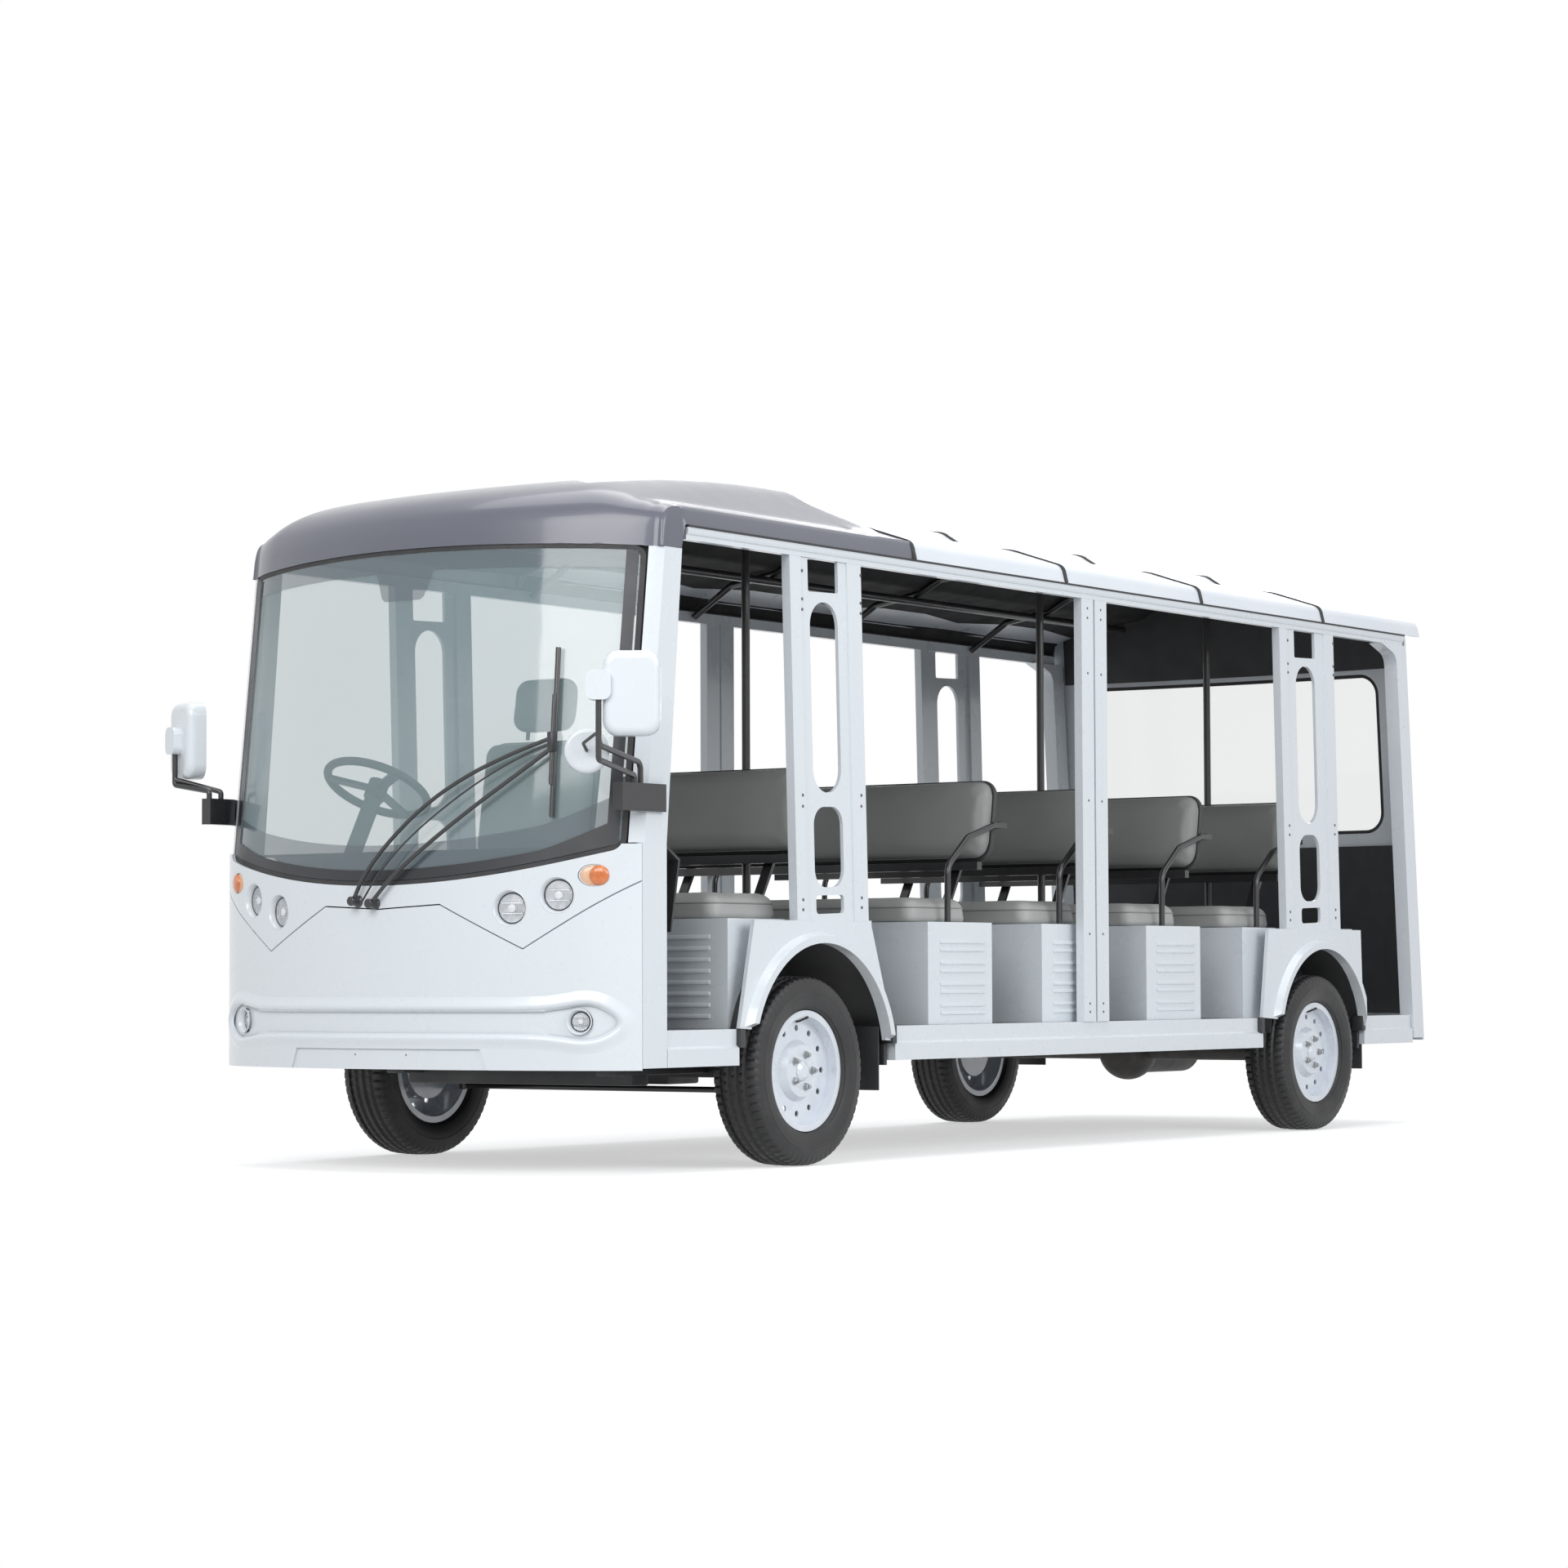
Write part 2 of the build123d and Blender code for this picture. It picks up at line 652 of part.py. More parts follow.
def post_panel(foot, width):
    height = RAIL_Z - FENDER_Z + 40
    middle = (POST_STRIP[0] + width - POST_STRIP[1]) / 2
    with BuildPart() as panel:
        for u, w in ((0, POST_STRIP[0]), (width - POST_STRIP[1], POST_STRIP[1])):
            with BuildSketch(post_plane(POST_FACE[0], row_y(foot))):
                with Locations((u, -20)):
                    Rectangle(w, height, align=(Align.MIN, Align.MIN))
            extrude(amount=POST_FACE[1] - POST_FACE[0])
        with BuildSketch(post_plane(PANEL_FACE[0], row_y(foot))):
            with Locations((10, -20)):
                Rectangle(width - 20, height, align=(Align.MIN, Align.MIN))
            for v, h, w, r in CUTOUTS:
                with Locations((middle, v + h / 2)):
                    RectangleRounded(w, h, r, mode=Mode.SUBTRACT)
        extrude(amount=PANEL_FACE[1] - PANEL_FACE[0])
        add(block(0, 2 * BODY_HALF, -LENGTH, LENGTH, 0, FENDER_Z + SEAT_GAP), mode=Mode.SUBTRACT)
        add(block(0, 2 * BODY_HALF, -LENGTH, LENGTH, RAIL_Z - SEAT_GAP, 2 * RAIL_Z), mode=Mode.SUBTRACT)
    return panel.part


save(both_sides(post_panel(*POST_PANELS[0])), "front_post_panels")
save(both_sides(post_panel(*POST_PANELS[1])), "rear_post_panels")
with BuildPart() as left_posts:
    for step in (0, MID_POST[1] + MID_POST[2]):
        front = row_y(MID_POST[0] + step)
        add(block(*POST_FACE, front, front + MID_POST[1], FLOOR_Z + SEAT_GAP, RAIL_Z - SEAT_GAP))
save(both_sides(left_posts.part), "middle_posts")

# Sills between and beyond the wheel arches: y of both ends behind the front axle
SILL_RUNS = ((-741, -368), (512, WHEELBASE - 430), (WHEELBASE + 418, WHEELBASE + 852))
SILL_IN = BODY_HALF - 52
with BuildPart() as left_sills:
    for start, end in SILL_RUNS:
        with BuildSketch(Plane(origin=(0, row_y(end), 0), x_dir=(1, 0, 0), z_dir=(0, -1, 0))):
            with BuildLine():
                Polyline(
                    (SILL_IN, FLOOR_Z),
                    (BODY_HALF - 10, FLOOR_Z),
                    (BODY_HALF - 10, SILL_STEP_Z + 8),
                    (BODY_HALF, SILL_STEP_Z),
                    (BODY_HALF, REAR_LOW_Z - 10),
                    (SILL_IN, REAR_LOW_Z - 10),
                    close=True,
                )
            make_face()
        extrude(amount=row_y(end) - row_y(start))
save(both_sides(left_sills.part), "side_sills")


def across(y0, y1, z0, z1, half):
    return block(-half, half, y0, y1, z0, z1)


def wheel_cylinder(arch, axle_y, r, x0, x1):
    """Solid bar across one wheel place, about the arch's centre."""
    behind, z, _ = arch
    with BuildPart() as drum:
        with BuildSketch(side_plane(x0)):
            with Locations((axle_y + behind, z)):
                Circle(r)
        extrude(amount=x1 - x0)
    return drum.part


FRONT_LINER_R = 425
REAR_LINER_R = 375
LINER_T = 4
FRONT_LINER_X = BODY_HALF - 350
REAR_LINER_X = BODY_HALF - 218
LINER_OUT = BODY_HALF - 22
LINER_LOW_Z = 348
# Wheel places: arch, axle, liner radius, inner end, lowest z of the liner in front
WHEEL_PLACES = (
    (FRONT_ARCH, FRONT_AXLE_Y, FRONT_LINER_R, FRONT_LINER_X, FLOOR_Z),
    (REAR_ARCH, REAR_AXLE_Y, REAR_LINER_R, REAR_LINER_X, SILL_STEP_Z),
)

with BuildPart() as left_liners:
    for arch, axle_y, r, x_in, front_low in WHEEL_PLACES:
        with BuildPart(mode=Mode.PRIVATE) as liner:
            add(wheel_cylinder(arch, axle_y, r, x_in, LINER_OUT))
            add(wheel_cylinder(arch, axle_y, r - LINER_T, x_in + LINER_T, LINER_OUT), mode=Mode.SUBTRACT)
            add(block(0, BODY_HALF, -LENGTH, LENGTH, -AXLE_Z, LINER_LOW_Z), mode=Mode.SUBTRACT)
            add(block(0, BODY_HALF, axle_y - 2 * r, axle_y, 0, front_low + SEAT_GAP), mode=Mode.SUBTRACT)
        add(liner.part)
        flap = axle_y + arch[0] + r
        add(block(LINER_OUT - 190, LINER_OUT, flap - 18, flap - 1, SKIRT_Z - 10, FLOOR_Z - 60))
save(both_sides(left_liners.part), "wheel_liners")

# Fenders: foot and top corners of the panel, y behind the axle and z
FRONT_FENDER = ((-365, 447), (-284, FENDER_Z), (369, FENDER_Z), (510, 395))
REAR_FENDER = ((-432, 447), (-378, FENDER_Z), (395, FENDER_Z), (412, 395))


def fender(arch, axle_y, corners):
    behind, z, r = arch
    with BuildPart() as panel:
        with BuildSketch(side_plane(BODY_HALF - FENDER_T)):
            with BuildLine():
                Polyline(*[(axle_y + y, h) for y, h in corners], close=True)
            make_face()
        extrude(amount=FENDER_T)
        with BuildSketch(side_plane(BODY_HALF - FENDER_T)):
            with Locations((axle_y + behind, z)):
                Circle(r + LIP_W)
            with BuildLine():
                Polyline(*[(axle_y + y, h) for y, h in corners], close=True)
            make_face(mode=Mode.INTERSECT)
        extrude(amount=FENDER_T + LIP_OUT, taper=24)
        with BuildSketch(side_plane(0)):
            with Locations((axle_y + behind, z)):
                Circle(r)
        extrude(amount=2 * BODY_HALF, mode=Mode.SUBTRACT)
    return panel.part


with BuildPart() as left_fenders:
    add(fender(FRONT_ARCH, FRONT_AXLE_Y, FRONT_FENDER))
    add(fender(REAR_ARCH, REAR_AXLE_Y, REAR_FENDER))
save(both_sides(left_fenders.part), "fenders")

# Rear wall and the corner pillars in front of it
with BuildPart() as rear_wall:
    rear_rise(rear_plan(REAR_LOW_Z, REAR_T), 2 * ROOF_Z)
    rear_view(rear_window_outline(SEAL_W + SEAT_GAP), Mode.SUBTRACT)
    extrude(
        mirrored_section(TAIL_Y, ROOF_SECTION, 0, ROOF_T + SEAT_GAP), amount=LENGTH, mode=Mode.INTERSECT
    )
save(rear_wall.part, "rear_wall")


def rear_inside_y(z):
    """Inner face of the rear wall at its side edge."""
    return TAIL_Y - REAR_BOW - REAR_T - SEAT_GAP - (z - REAR_LOW_Z) * tan(radians(REAR_LEAN))


REAR_PILLAR_IN = BODY_HALF - 58
REAR_PILLAR = (
    (WHEELBASE + 862, SILL_STEP_Z - 35),
    (WHEELBASE + 742, 1925),
    (WHEELBASE + 610, RAIL_Z - SEAT_GAP),
)
with BuildPart() as left_rear_pillar:
    with BuildSketch(side_plane(REAR_PILLAR_IN)):
        with BuildLine():
            front = FilletPolyline(*[(row_y(y), z) for y, z in REAR_PILLAR], radius=60)
            top_z = REAR_PILLAR[-1][1]
            low_z = REAR_PILLAR[0][1]
            Polyline(front @ 1, (rear_inside_y(top_z), top_z), (rear_inside_y(low_z), low_z), front @ 0)
        make_face()
    extrude(amount=BODY_HALF - REAR_PILLAR_IN)
    add(left_pillar.part)
save(both_sides(left_rear_pillar.part), "corner_pillars")

# Floor with room for the wheel liners
FLOOR_HALF = SILL_IN - SEAT_GAP
with BuildPart() as floor_deck:
    extrude(nose_plan(Plane.XY.offset(FLOOR_Z - FLOOR_T), TAIL_Y, 2 * PANEL_T), amount=FLOOR_T)
    add(across(-LENGTH, REAR_AXLE_Y + 840, 0, ROOF_Z, FLOOR_HALF), mode=Mode.INTERSECT)
    for arch, axle_y, r, x_in, front_low in WHEEL_PLACES:
        add(both_sides(wheel_cylinder(arch, axle_y, r + SEAT_GAP, x_in - SEAT_GAP, BODY_HALF)), mode=Mode.SUBTRACT)
save(floor_deck.part, "floor_deck")

# Frame under the floor
RAIL_X = (370, 430)
FRAME_Z = (345, FLOOR_Z - FLOOR_T - SEAT_GAP)
FRAME_FRONT = row_y(-1010)
FRAME_REAR = REAR_AXLE_Y + 910
CROSS_W = 60
MID_BAR = WHEELBASE / 2 - 45
CROSSBARS = (-940, -560, 700, MID_BAR, WHEELBASE - 790, WHEELBASE + 830)
OUTRIGGERS = (-620, 640, MID_BAR, WHEELBASE - 640, WHEELBASE + 660)
OUTRIGGER_DROP = 50
SPRING_HALF = 450
SPRING_EYE_Z = 395
SPRING_X = (440, 490)
with BuildPart() as left_frame:
    add(block(*RAIL_X, FRAME_FRONT, FRAME_REAR, *FRAME_Z))
    for y in OUTRIGGERS:
        add(block(RAIL_X[0], FLOOR_HALF, row_y(y), row_y(y) + CROSS_W, FRAME_Z[1] - OUTRIGGER_DROP, FRAME_Z[1]))
    for axle_y in (FRONT_AXLE_Y, REAR_AXLE_Y):
        for end in (-SPRING_HALF, SPRING_HALF):
            add(block(RAIL_X[0], SPRING_X[1], axle_y + end - 22, axle_y + end + 22, SPRING_EYE_Z + SEAT_GAP, FRAME_Z[1]))
with BuildPart() as chassis_frame:
    add(both_sides(left_frame.part))
    for y in CROSSBARS:
        add(across(row_y(y), row_y(y) + CROSS_W, FRAME_Z[0] + 10, FRAME_Z[1], RAIL_X[0] + 5))

# Seat boxes on the floor
BOX_FRONT = 435
BOX_BACK = 30
ROW_ONE_FRONT = -350
ROW_ONE_REAR = 60
WING_ONE = (BODY_HALF - 373, 460)
WING_FIVE = (BODY_HALF - 258, 480)


def hollow_box(half_in, half_out, y0, y1):
    """Box open below, from half_in to half_out on both sides or whole when half_in is 0."""
    pieces = [(-half_out, half_out)] if half_in == 0 else [(half_in, half_out), (-half_out, -half_in)]
    with BuildPart() as box:
        for x0, x1 in pieces:
            add(block(x0, x1, y0, y1, FLOOR_Z + SEAT_GAP, SEAT_BOX_Z))
            inner = block(x0 + BOX_T, x1 - BOX_T, y0 + BOX_T, y1 - BOX_T, FLOOR_Z, SEAT_BOX_Z - BOX_T)
            add(inner, mode=Mode.SUBTRACT)
    return box.part


def wheel_room(index):
    arch, axle_y, r, x_in, front_low = WHEEL_PLACES[index]
    return both_sides(wheel_cylinder(arch, axle_y, r + SEAT_GAP, x_in - SEAT_GAP, BODY_HALF))


with BuildPart() as row_one_box:
    add(hollow_box(0, BOX_HALF, row_y(ROW_ONE_FRONT), row_y(ROW_ONE_REAR)))
    add(wheel_room(0), mode=Mode.SUBTRACT)
with BuildPart() as row_one_wings:
    add(hollow_box(WING_ONE[0], BOX_HALF, row_y(ROW_ONE_REAR) + SEAT_GAP, row_y(WING_ONE[1])))
    add(wheel_room(0), mode=Mode.SUBTRACT)
with BuildPart() as last_row_box:
    last_y = row_y(ROW_BACKS[-1])
    add(hollow_box(0, BOX_HALF, last_y - BOX_FRONT, last_y))
    add(wheel_room(1), mode=Mode.SUBTRACT)
with BuildPart() as last_row_wings:
    add(hollow_box(WING_FIVE[0], BOX_HALF, last_y + SEAT_GAP, last_y + WING_FIVE[1]))
    add(wheel_room(1), mode=Mode.SUBTRACT)
with BuildPart() as seat_boxes:
    add(row_one_box.part)
    add(row_one_wings.part)
    add(last_row_box.part)
    add(last_row_wings.part)
    for back in ROW_BACKS[1:-1]:
        add(hollow_box(0, BOX_HALF, row_y(back) - BOX_FRONT, row_y(back) - BOX_BACK))
save(seat_boxes.part, "seat_boxes")

BATTERY_HALF = 560
BATTERY_H = 290
battery_front = row_y(ROW_BACKS[2]) - BOX_FRONT + 30
battery = across(
    battery_front, battery_front + 340, FLOOR_Z + SEAT_GAP, FLOOR_Z + SEAT_GAP + BATTERY_H, BATTERY_HALF
)
save(battery, "battery_block")

# Cushions and backrests: row, x from, x to
DRIVER_HALF = 245
SEAT_PARTS = ((0, DRIVER_X - DRIVER_HALF, DRIVER_X + DRIVER_HALF), (0, -60, BENCH_HALF)) + tuple(
    (row, -BENCH_HALF, BENCH_HALF) for row in range(1, len(ROW_BACKS))
)
CUSHION_FRONT = 443
CUSHION_R = 34
CUSHION_LOW_R = 10
BACK_CORNER_R = 60
BACK_EDGE_R = 16
DRIVER_BACK_H = 420
HEADREST = (130, 190, 60, 1470)

with BuildPart() as seat_cushions:
    for row, x0, x1 in SEAT_PARTS:
        front = row_y(ROW_BACKS[row]) - CUSHION_FRONT
        with BuildSketch(Plane.XY.offset(SEAT_BOX_Z + SEAT_GAP)):
            with Locations(((x0 + x1) / 2, front + CUSHION_DEPTH / 2)):
                RectangleRounded(x1 - x0, CUSHION_DEPTH, BACK_CORNER_R)
        extrude(amount=CUSHION_T)
    fillet(seat_cushions.edges().group_by(Axis.Z)[-1], radius=CUSHION_R)
save(seat_cushions.part, "seat_cushions")


def back_plane(row):
    """Front face of a backrest: u across the bus, v up the leaning back."""
    lean = radians(BACK_LEAN)
    return Plane(origin=(0, row_y(ROW_BACKS[row]), BACK_LOW_Z), x_dir=(1, 0, 0), z_dir=(0, -cos(lean), sin(lean)))


with BuildPart() as seat_backrests:
    for row, x0, x1 in SEAT_PARTS:
        height = BACK_H if (row, x0) != SEAT_PARTS[0][:2] else DRIVER_BACK_H
        with BuildSketch(back_plane(row)):
            with Locations(((x0 + x1) / 2, height / 2)):
                RectangleRounded(x1 - x0, height, BACK_CORNER_R)
        extrude(amount=-BACK_T)
    with BuildSketch(back_plane(0)):
        with Locations((DRIVER_X, HEADREST[3] - BACK_LOW_Z + HEADREST[1] / 2)):
            RectangleRounded(2 * HEADREST[0], HEADREST[1], 40)
    extrude(amount=-HEADREST[2])
save(seat_backrests.part, "seat_backrests")

# Tube frames of the seats: handles at the ends, bars under and posts behind the backrests
HANDLE_X = BENCH_HALF + 29
HANDLE = ((-267, SEAT_BOX_Z + SEAT_GAP), (-265, 990), (-134, 1092), (41, 1140))
HANDLE_R = 11
HANDLE_BEND = 60
POST_W = 36
POST_T = 10
POST_IN = 150
BACK_BAR = (30, 28)
LINK_H = 12


def back_face_y(row, z):
    """Rear face of a backrest at one height."""
    return row_y(ROW_BACKS[row]) + BACK_T / cos(radians(BACK_LEAN)) + (z - BACK_LOW_Z) * tan(radians(BACK_LEAN))


STEM_R = 7
STEM_APART = 60
STEM_DEEP = 30
with BuildPart() as seat_frames:
    for row, x0, x1 in SEAT_PARTS:
        top_z = BACK_LOW_Z + BACK_H - BACK_CORNER_R
        foot_y = row_y(ROW_BACKS[row]) - BOX_BACK - POST_T / 2
        foot_z = SEAT_BOX_Z + SEAT_GAP
        bend_z = BACK_LOW_Z - BACK_T * sin(radians(BACK_LEAN)) - SEAT_GAP
        bend_y = back_face_y(row, bend_z - POST_T) + SEAT_GAP
        top_y = back_face_y(row, top_z) + SEAT_GAP
        for x in (x0 + POST_IN, x1 - POST_IN):
            with BuildSketch(side_plane(x - POST_W / 2)):
                with BuildLine():
                    Polyline(
                        (foot_y - POST_T, foot_z),
                        (foot_y, foot_z),
                        (bend_y + POST_T, bend_z - 2 * POST_T),
                        (top_y + POST_T, top_z),
                        (top_y, top_z),
                        (bend_y, bend_z - POST_T),
                        close=True,
                    )
                make_face()
            extrude(amount=POST_W)
        slope = (bend_y - foot_y + POST_T) / (bend_z - POST_T - foot_z)
        bar_y = bend_y - (BACK_BAR[1] - POST_T) * slope - SEAT_GAP
        add(block(x0 + 40, x1 - 40, bar_y - BACK_BAR[0], bar_y, bend_z - BACK_BAR[1], bend_z))
    stem_low = DRIVER_BACK_H + SEAT_GAP
    stem_top = HEADREST[3] - BACK_LOW_Z - SEAT_GAP
    stem_plane = back_plane(0).offset(-STEM_DEEP)
    for x in (DRIVER_X - STEM_APART, DRIVER_X + STEM_APART):
        foot = stem_plane.from_local_coords((x, stem_low, 0))
        with BuildSketch(Plane(origin=foot, z_dir=stem_plane.y_dir)):
            Circle(STEM_R)
        extrude(amount=stem_top - stem_low)
save(seat_frames.part, "seat_frames")

with BuildPart() as seat_handles:
    for row, back in enumerate(ROW_BACKS[1:], start=1):
        end_y, end_z = row_y(back + HANDLE[-1][0]), HANDLE[-1][1]
        arm_y = back_face_y(row, end_z + LINK_H)
        with BuildPart(mode=Mode.PRIVATE) as handle:
            add(tube(bent([(HANDLE_X, row_y(back + y), z) for y, z in HANDLE], HANDLE_BEND), HANDLE_R))
            add(block(HANDLE_X - 8, HANDLE_X + 8, end_y - 20, arm_y + POST_T, end_z - LINK_H, end_z + 8))
        add(both_sides(handle.part))
        link_end = HANDLE_X - 8 - SEAT_GAP
        link = block(BENCH_HALF - 60, link_end, arm_y + SEAT_GAP, arm_y + POST_T, end_z - LINK_H, end_z + LINK_H)
        add(both_sides(link))
save(seat_handles.part, "seat_handles")

# Black tubes under the roof and the grab poles that hang from them
HOOP = ((RAIL_IN - 10, 1988), (BODY_HALF - 218, 2098), (430, 2132), (330, 2182), (0, 2214))
HOOP_R = 13
HOOP_BEND = 40
LONG_X = 445
LONG_R = 16
LONG_FRONT = -420
LONG_REAR = WHEELBASE + 740
POLE_R = 14


def hoop_low_z(x):
    """Underside of the hoops at one x, less a running gap."""
    for (x0, z0), (x1, z1) in zip(HOOP, HOOP[1:]):
        if x1 <= x <= x0:
            rise = (z1 - z0) / (x1 - x0)
            return z0 + (x - x0) * rise - HOOP_R * sqrt(1 + rise**2) - SEAT_GAP


LONG_Z = hoop_low_z(LONG_X) - LONG_R
LAST_HOOP = ROOF_FRONT_Y + 30 + 3 * STRIP_PITCH
# Grab poles: x, y, foot, top
POLES = (
    (LONG_X, row_y(240), FLOOR_Z, LONG_Z - LONG_R),
    (LONG_X, row_y(WHEELBASE - 1380), FLOOR_Z, LONG_Z - LONG_R),
    (319, LAST_HOOP, FLOOR_Z, hoop_low_z(319 + POLE_R + 3)),
)
with BuildPart() as cabin_tubes:
    right = [(-x, z) for x, z in HOOP[:-1]]
    for i in range(4):
        hoop_y = ROOF_FRONT_Y + 30 + i * STRIP_PITCH
        points = [(x, hoop_y, z) for x, z in HOOP] + [(x, hoop_y, z) for x, z in reversed(right)]
        add(tube(bent(points, HOOP_BEND), HOOP_R))
    with BuildSketch(Plane(origin=(0, row_y(LONG_REAR), 0), x_dir=(1, 0, 0), z_dir=(0, -1, 0))):
        with Locations((LONG_X, LONG_Z), (-LONG_X, LONG_Z)):
            Circle(LONG_R)
    extrude(amount=LONG_REAR - LONG_FRONT)
    for x, y, foot_z, top_z in POLES:
        with BuildSketch(Plane.XY.offset(foot_z + SEAT_GAP)):
            with Locations((x, y)):
                Circle(POLE_R)
        extrude(amount=top_z - foot_z - 2 * SEAT_GAP)
save(cabin_tubes.part, "cabin_tubes")

# Dashboard: a hollow cover across the bus that follows the nose
DASH_IN = PILLAR_W + SEAT_GAP
DASH = ((-1100, 1004), (-700, 1020), (-624, 975), (-668, 748), (-668 - BOX_T, 748), (-634, 970), (-702, 1012))
with BuildPart() as dashboard:
    with BuildSketch(side_plane(-BODY_HALF)):
        with BuildLine():
            Polyline(*[(row_y(y), z) for y, z in DASH], (row_y(DASH[0][0]), DASH[0][1] - BOX_T), close=True)
        make_face()
    extrude(amount=2 * BODY_HALF)
    extrude(nose_plan(Plane.XY.offset(SKIRT_Z), 0, DASH_IN), amount=ROOF_Z, mode=Mode.INTERSECT)

# Steering wheel and column: the wheel turns on the column's shaft
WHEEL_BEHIND = -656
WHEEL_Z = 1232
WHEEL_TILT = 29
WHEEL_R = 171
WHEEL_TUBE = 14
COLUMN_R = 28
COLUMN_DOWN = 40
SHAFT_R = 12


def wheel_plane(up=0):
    tilt = radians(WHEEL_TILT)
    axis = Vector(0, sin(tilt), cos(tilt))
    return Plane(origin=Vector(DRIVER_X, row_y(WHEEL_BEHIND), WHEEL_Z) + axis * up, x_dir=(1, 0, 0), z_dir=axis)


with BuildPart() as steering_wheel:
    with BuildSketch(wheel_plane(-COLUMN_DOWN)):
        Circle(SHAFT_R + 22)
        Circle(SHAFT_R + KINGPIN_GAP, mode=Mode.SUBTRACT)
    extrude(amount=COLUMN_DOWN + 10)
    with BuildSketch(wheel_plane(10)):
        Circle(SHAFT_R + 22)
    extrude(amount=12)
    for turn in (90, 210, 330):
        with BuildSketch(wheel_plane(-12)):
            with PolarLocations(0, 1, start_angle=turn):
                with Locations((WHEEL_R / 2 + 10, 0)):
                    Rectangle(WHEEL_R - 20, 34)
        extrude(amount=12)
    with Locations(wheel_plane()):
        Torus(WHEEL_R, WHEEL_TUBE)
save(steering_wheel.part, "steering_wheel")

COLUMN_LENGTH = 240
with BuildPart() as steering_column:
    with BuildSketch(wheel_plane(-COLUMN_DOWN - MOVE_GAP)):
        Circle(COLUMN_R)
    extrude(amount=-COLUMN_LENGTH)
    with BuildSketch(wheel_plane(-COLUMN_DOWN - MOVE_GAP)):
        Circle(SHAFT_R)
    extrude(amount=COLUMN_DOWN + MOVE_GAP - 1)
    with BuildSketch(side_plane(-BODY_HALF)):
        with BuildLine():
            Polyline(*[(row_y(y), z + SEAT_GAP) for y, z in DASH[:4]], (row_y(DASH[0][0]), DASH[3][1]), close=True)
        make_face()
    extrude(amount=2 * BODY_HALF, mode=Mode.SUBTRACT)
    add(dashboard.part)
save(steering_column.part, "dashboard")

# Lamps
with BuildPart() as headlamps:
    for side in (1, -1):
        for x, z, r in HEADLAMPS + (FOG_LAMP,):
            with BuildSketch(bow_plane(side * x, z, 1)):
                Circle(r)
            extrude(amount=-LAMP_DEPTH)
save(headlamps.part, "headlamps")

with BuildPart() as turn_lamps:
    for side in (1, -1):
        with BuildSketch(bow_plane(side * TURN_LAMP[0], TURN_LAMP[1], 1)):
            Ellipse(TURN_LAMP[2], TURN_LAMP[3])
        extrude(amount=-LAMP_DEPTH)
save(turn_lamps.part, "turn_lamps")

TAIL_LAMP = (BODY_HALF - 113, 870, 110, 300, 12)
with BuildPart() as rear_lamps:
    tail_x, tail_z, tail_w, tail_h, tail_t = TAIL_LAMP
    rear_rise(rear_plan(REAR_LOW_Z, tail_t, -tail_t - SEAT_GAP), ROOF_Z)
    with BuildSketch(Plane.XZ) as tail_view:
        with Locations((tail_x, tail_z), (-tail_x, tail_z)):
            RectangleRounded(tail_w, tail_h, 30)
    rear_view(tail_view.sketch, Mode.INTERSECT)
save(rear_lamps.part, "rear_lamps")

# Mirrors: x, y behind the axle, z, turn about the upright, lug's place across, up and forward
MIRRORS = (
    (BODY_HALF + 141, -1100, 1455, 35, -98, 24, 34),
    (-BODY_HALF - 138, -914, 1396, -24, 0, 0, 54),
)
HEAD_W = 172
HEAD_H = 256
HEAD_FRONT = 42
HEAD_BACK = 22
HEAD_R = 46
LUG_W = 76
LUG_H = 90
LUG_FRONT = 20
GLASS_RIM = 9
GLASS_IN = 4
ROUND_MIRROR = (BODY_HALF - 14, -1120, 1288, 68)
ARM_R = 9
BRACKET = (1115, 1200)
ARM_OUT = BODY_HALF + 16


def mirror_plane(row, forward=0):
    x, behind, z, turn = MIRRORS[row][:4]
    normal = Vector(sin(radians(turn)), -cos(radians(turn)), 0)
    across_dir = (cos(radians(turn)), sin(radians(turn)), 0)
    return Plane(origin=Vector(x, row_y(behind), z) + normal * forward, x_dir=across_dir, z_dir=normal)


def round_plane(forward=0):
    spot = mirror_plane(0)
    place = Vector(ROUND_MIRROR[0], row_y(ROUND_MIRROR[1]), ROUND_MIRROR[2]) + spot.z_dir * forward
    return Plane(origin=place, x_dir=spot.x_dir, z_dir=spot.z_dir)


with BuildPart() as mirror_heads:
    for row in (0, 1):
        with BuildPart(mode=Mode.PRIVATE) as head:
            with BuildSketch(mirror_plane(row, -HEAD_BACK)):
                RectangleRounded(HEAD_W, HEAD_H, HEAD_R)
            extrude(amount=HEAD_FRONT + HEAD_BACK)
            front_edges = head.faces().sort_by(Axis((0, 0, 0), mirror_plane(row).z_dir))[-1].edges()
            fillet(front_edges, radius=24)
            lug_u, lug_v, lug_forward = MIRRORS[row][4:]
            with BuildSketch(mirror_plane(row)):
                with Locations((lug_u, lug_v)):
                    RectangleRounded(LUG_W, LUG_H, 24)
            extrude(amount=lug_forward + LUG_FRONT)
            with BuildSketch(mirror_plane(row, -HEAD_BACK)):
                RectangleRounded(HEAD_W - 2 * GLASS_RIM, HEAD_H - 2 * GLASS_RIM, HEAD_R - GLASS_RIM)
            extrude(amount=GLASS_IN, mode=Mode.SUBTRACT)
        add(head.part)
    with BuildPart(mode=Mode.PRIVATE) as dish:
        with BuildSketch(round_plane()):
            Circle(ROUND_MIRROR[3])
        extrude(amount=16)
        fillet(dish.edges().sort_by(Axis((0, 0, 0), round_plane().z_dir))[-1], radius=12)
        with BuildSketch(round_plane()):
            Circle(ROUND_MIRROR[3] - 4)
        extrude(amount=GLASS_IN, mode=Mode.SUBTRACT)
    add(dish.part)
save(mirror_heads.part, "mirror_heads")

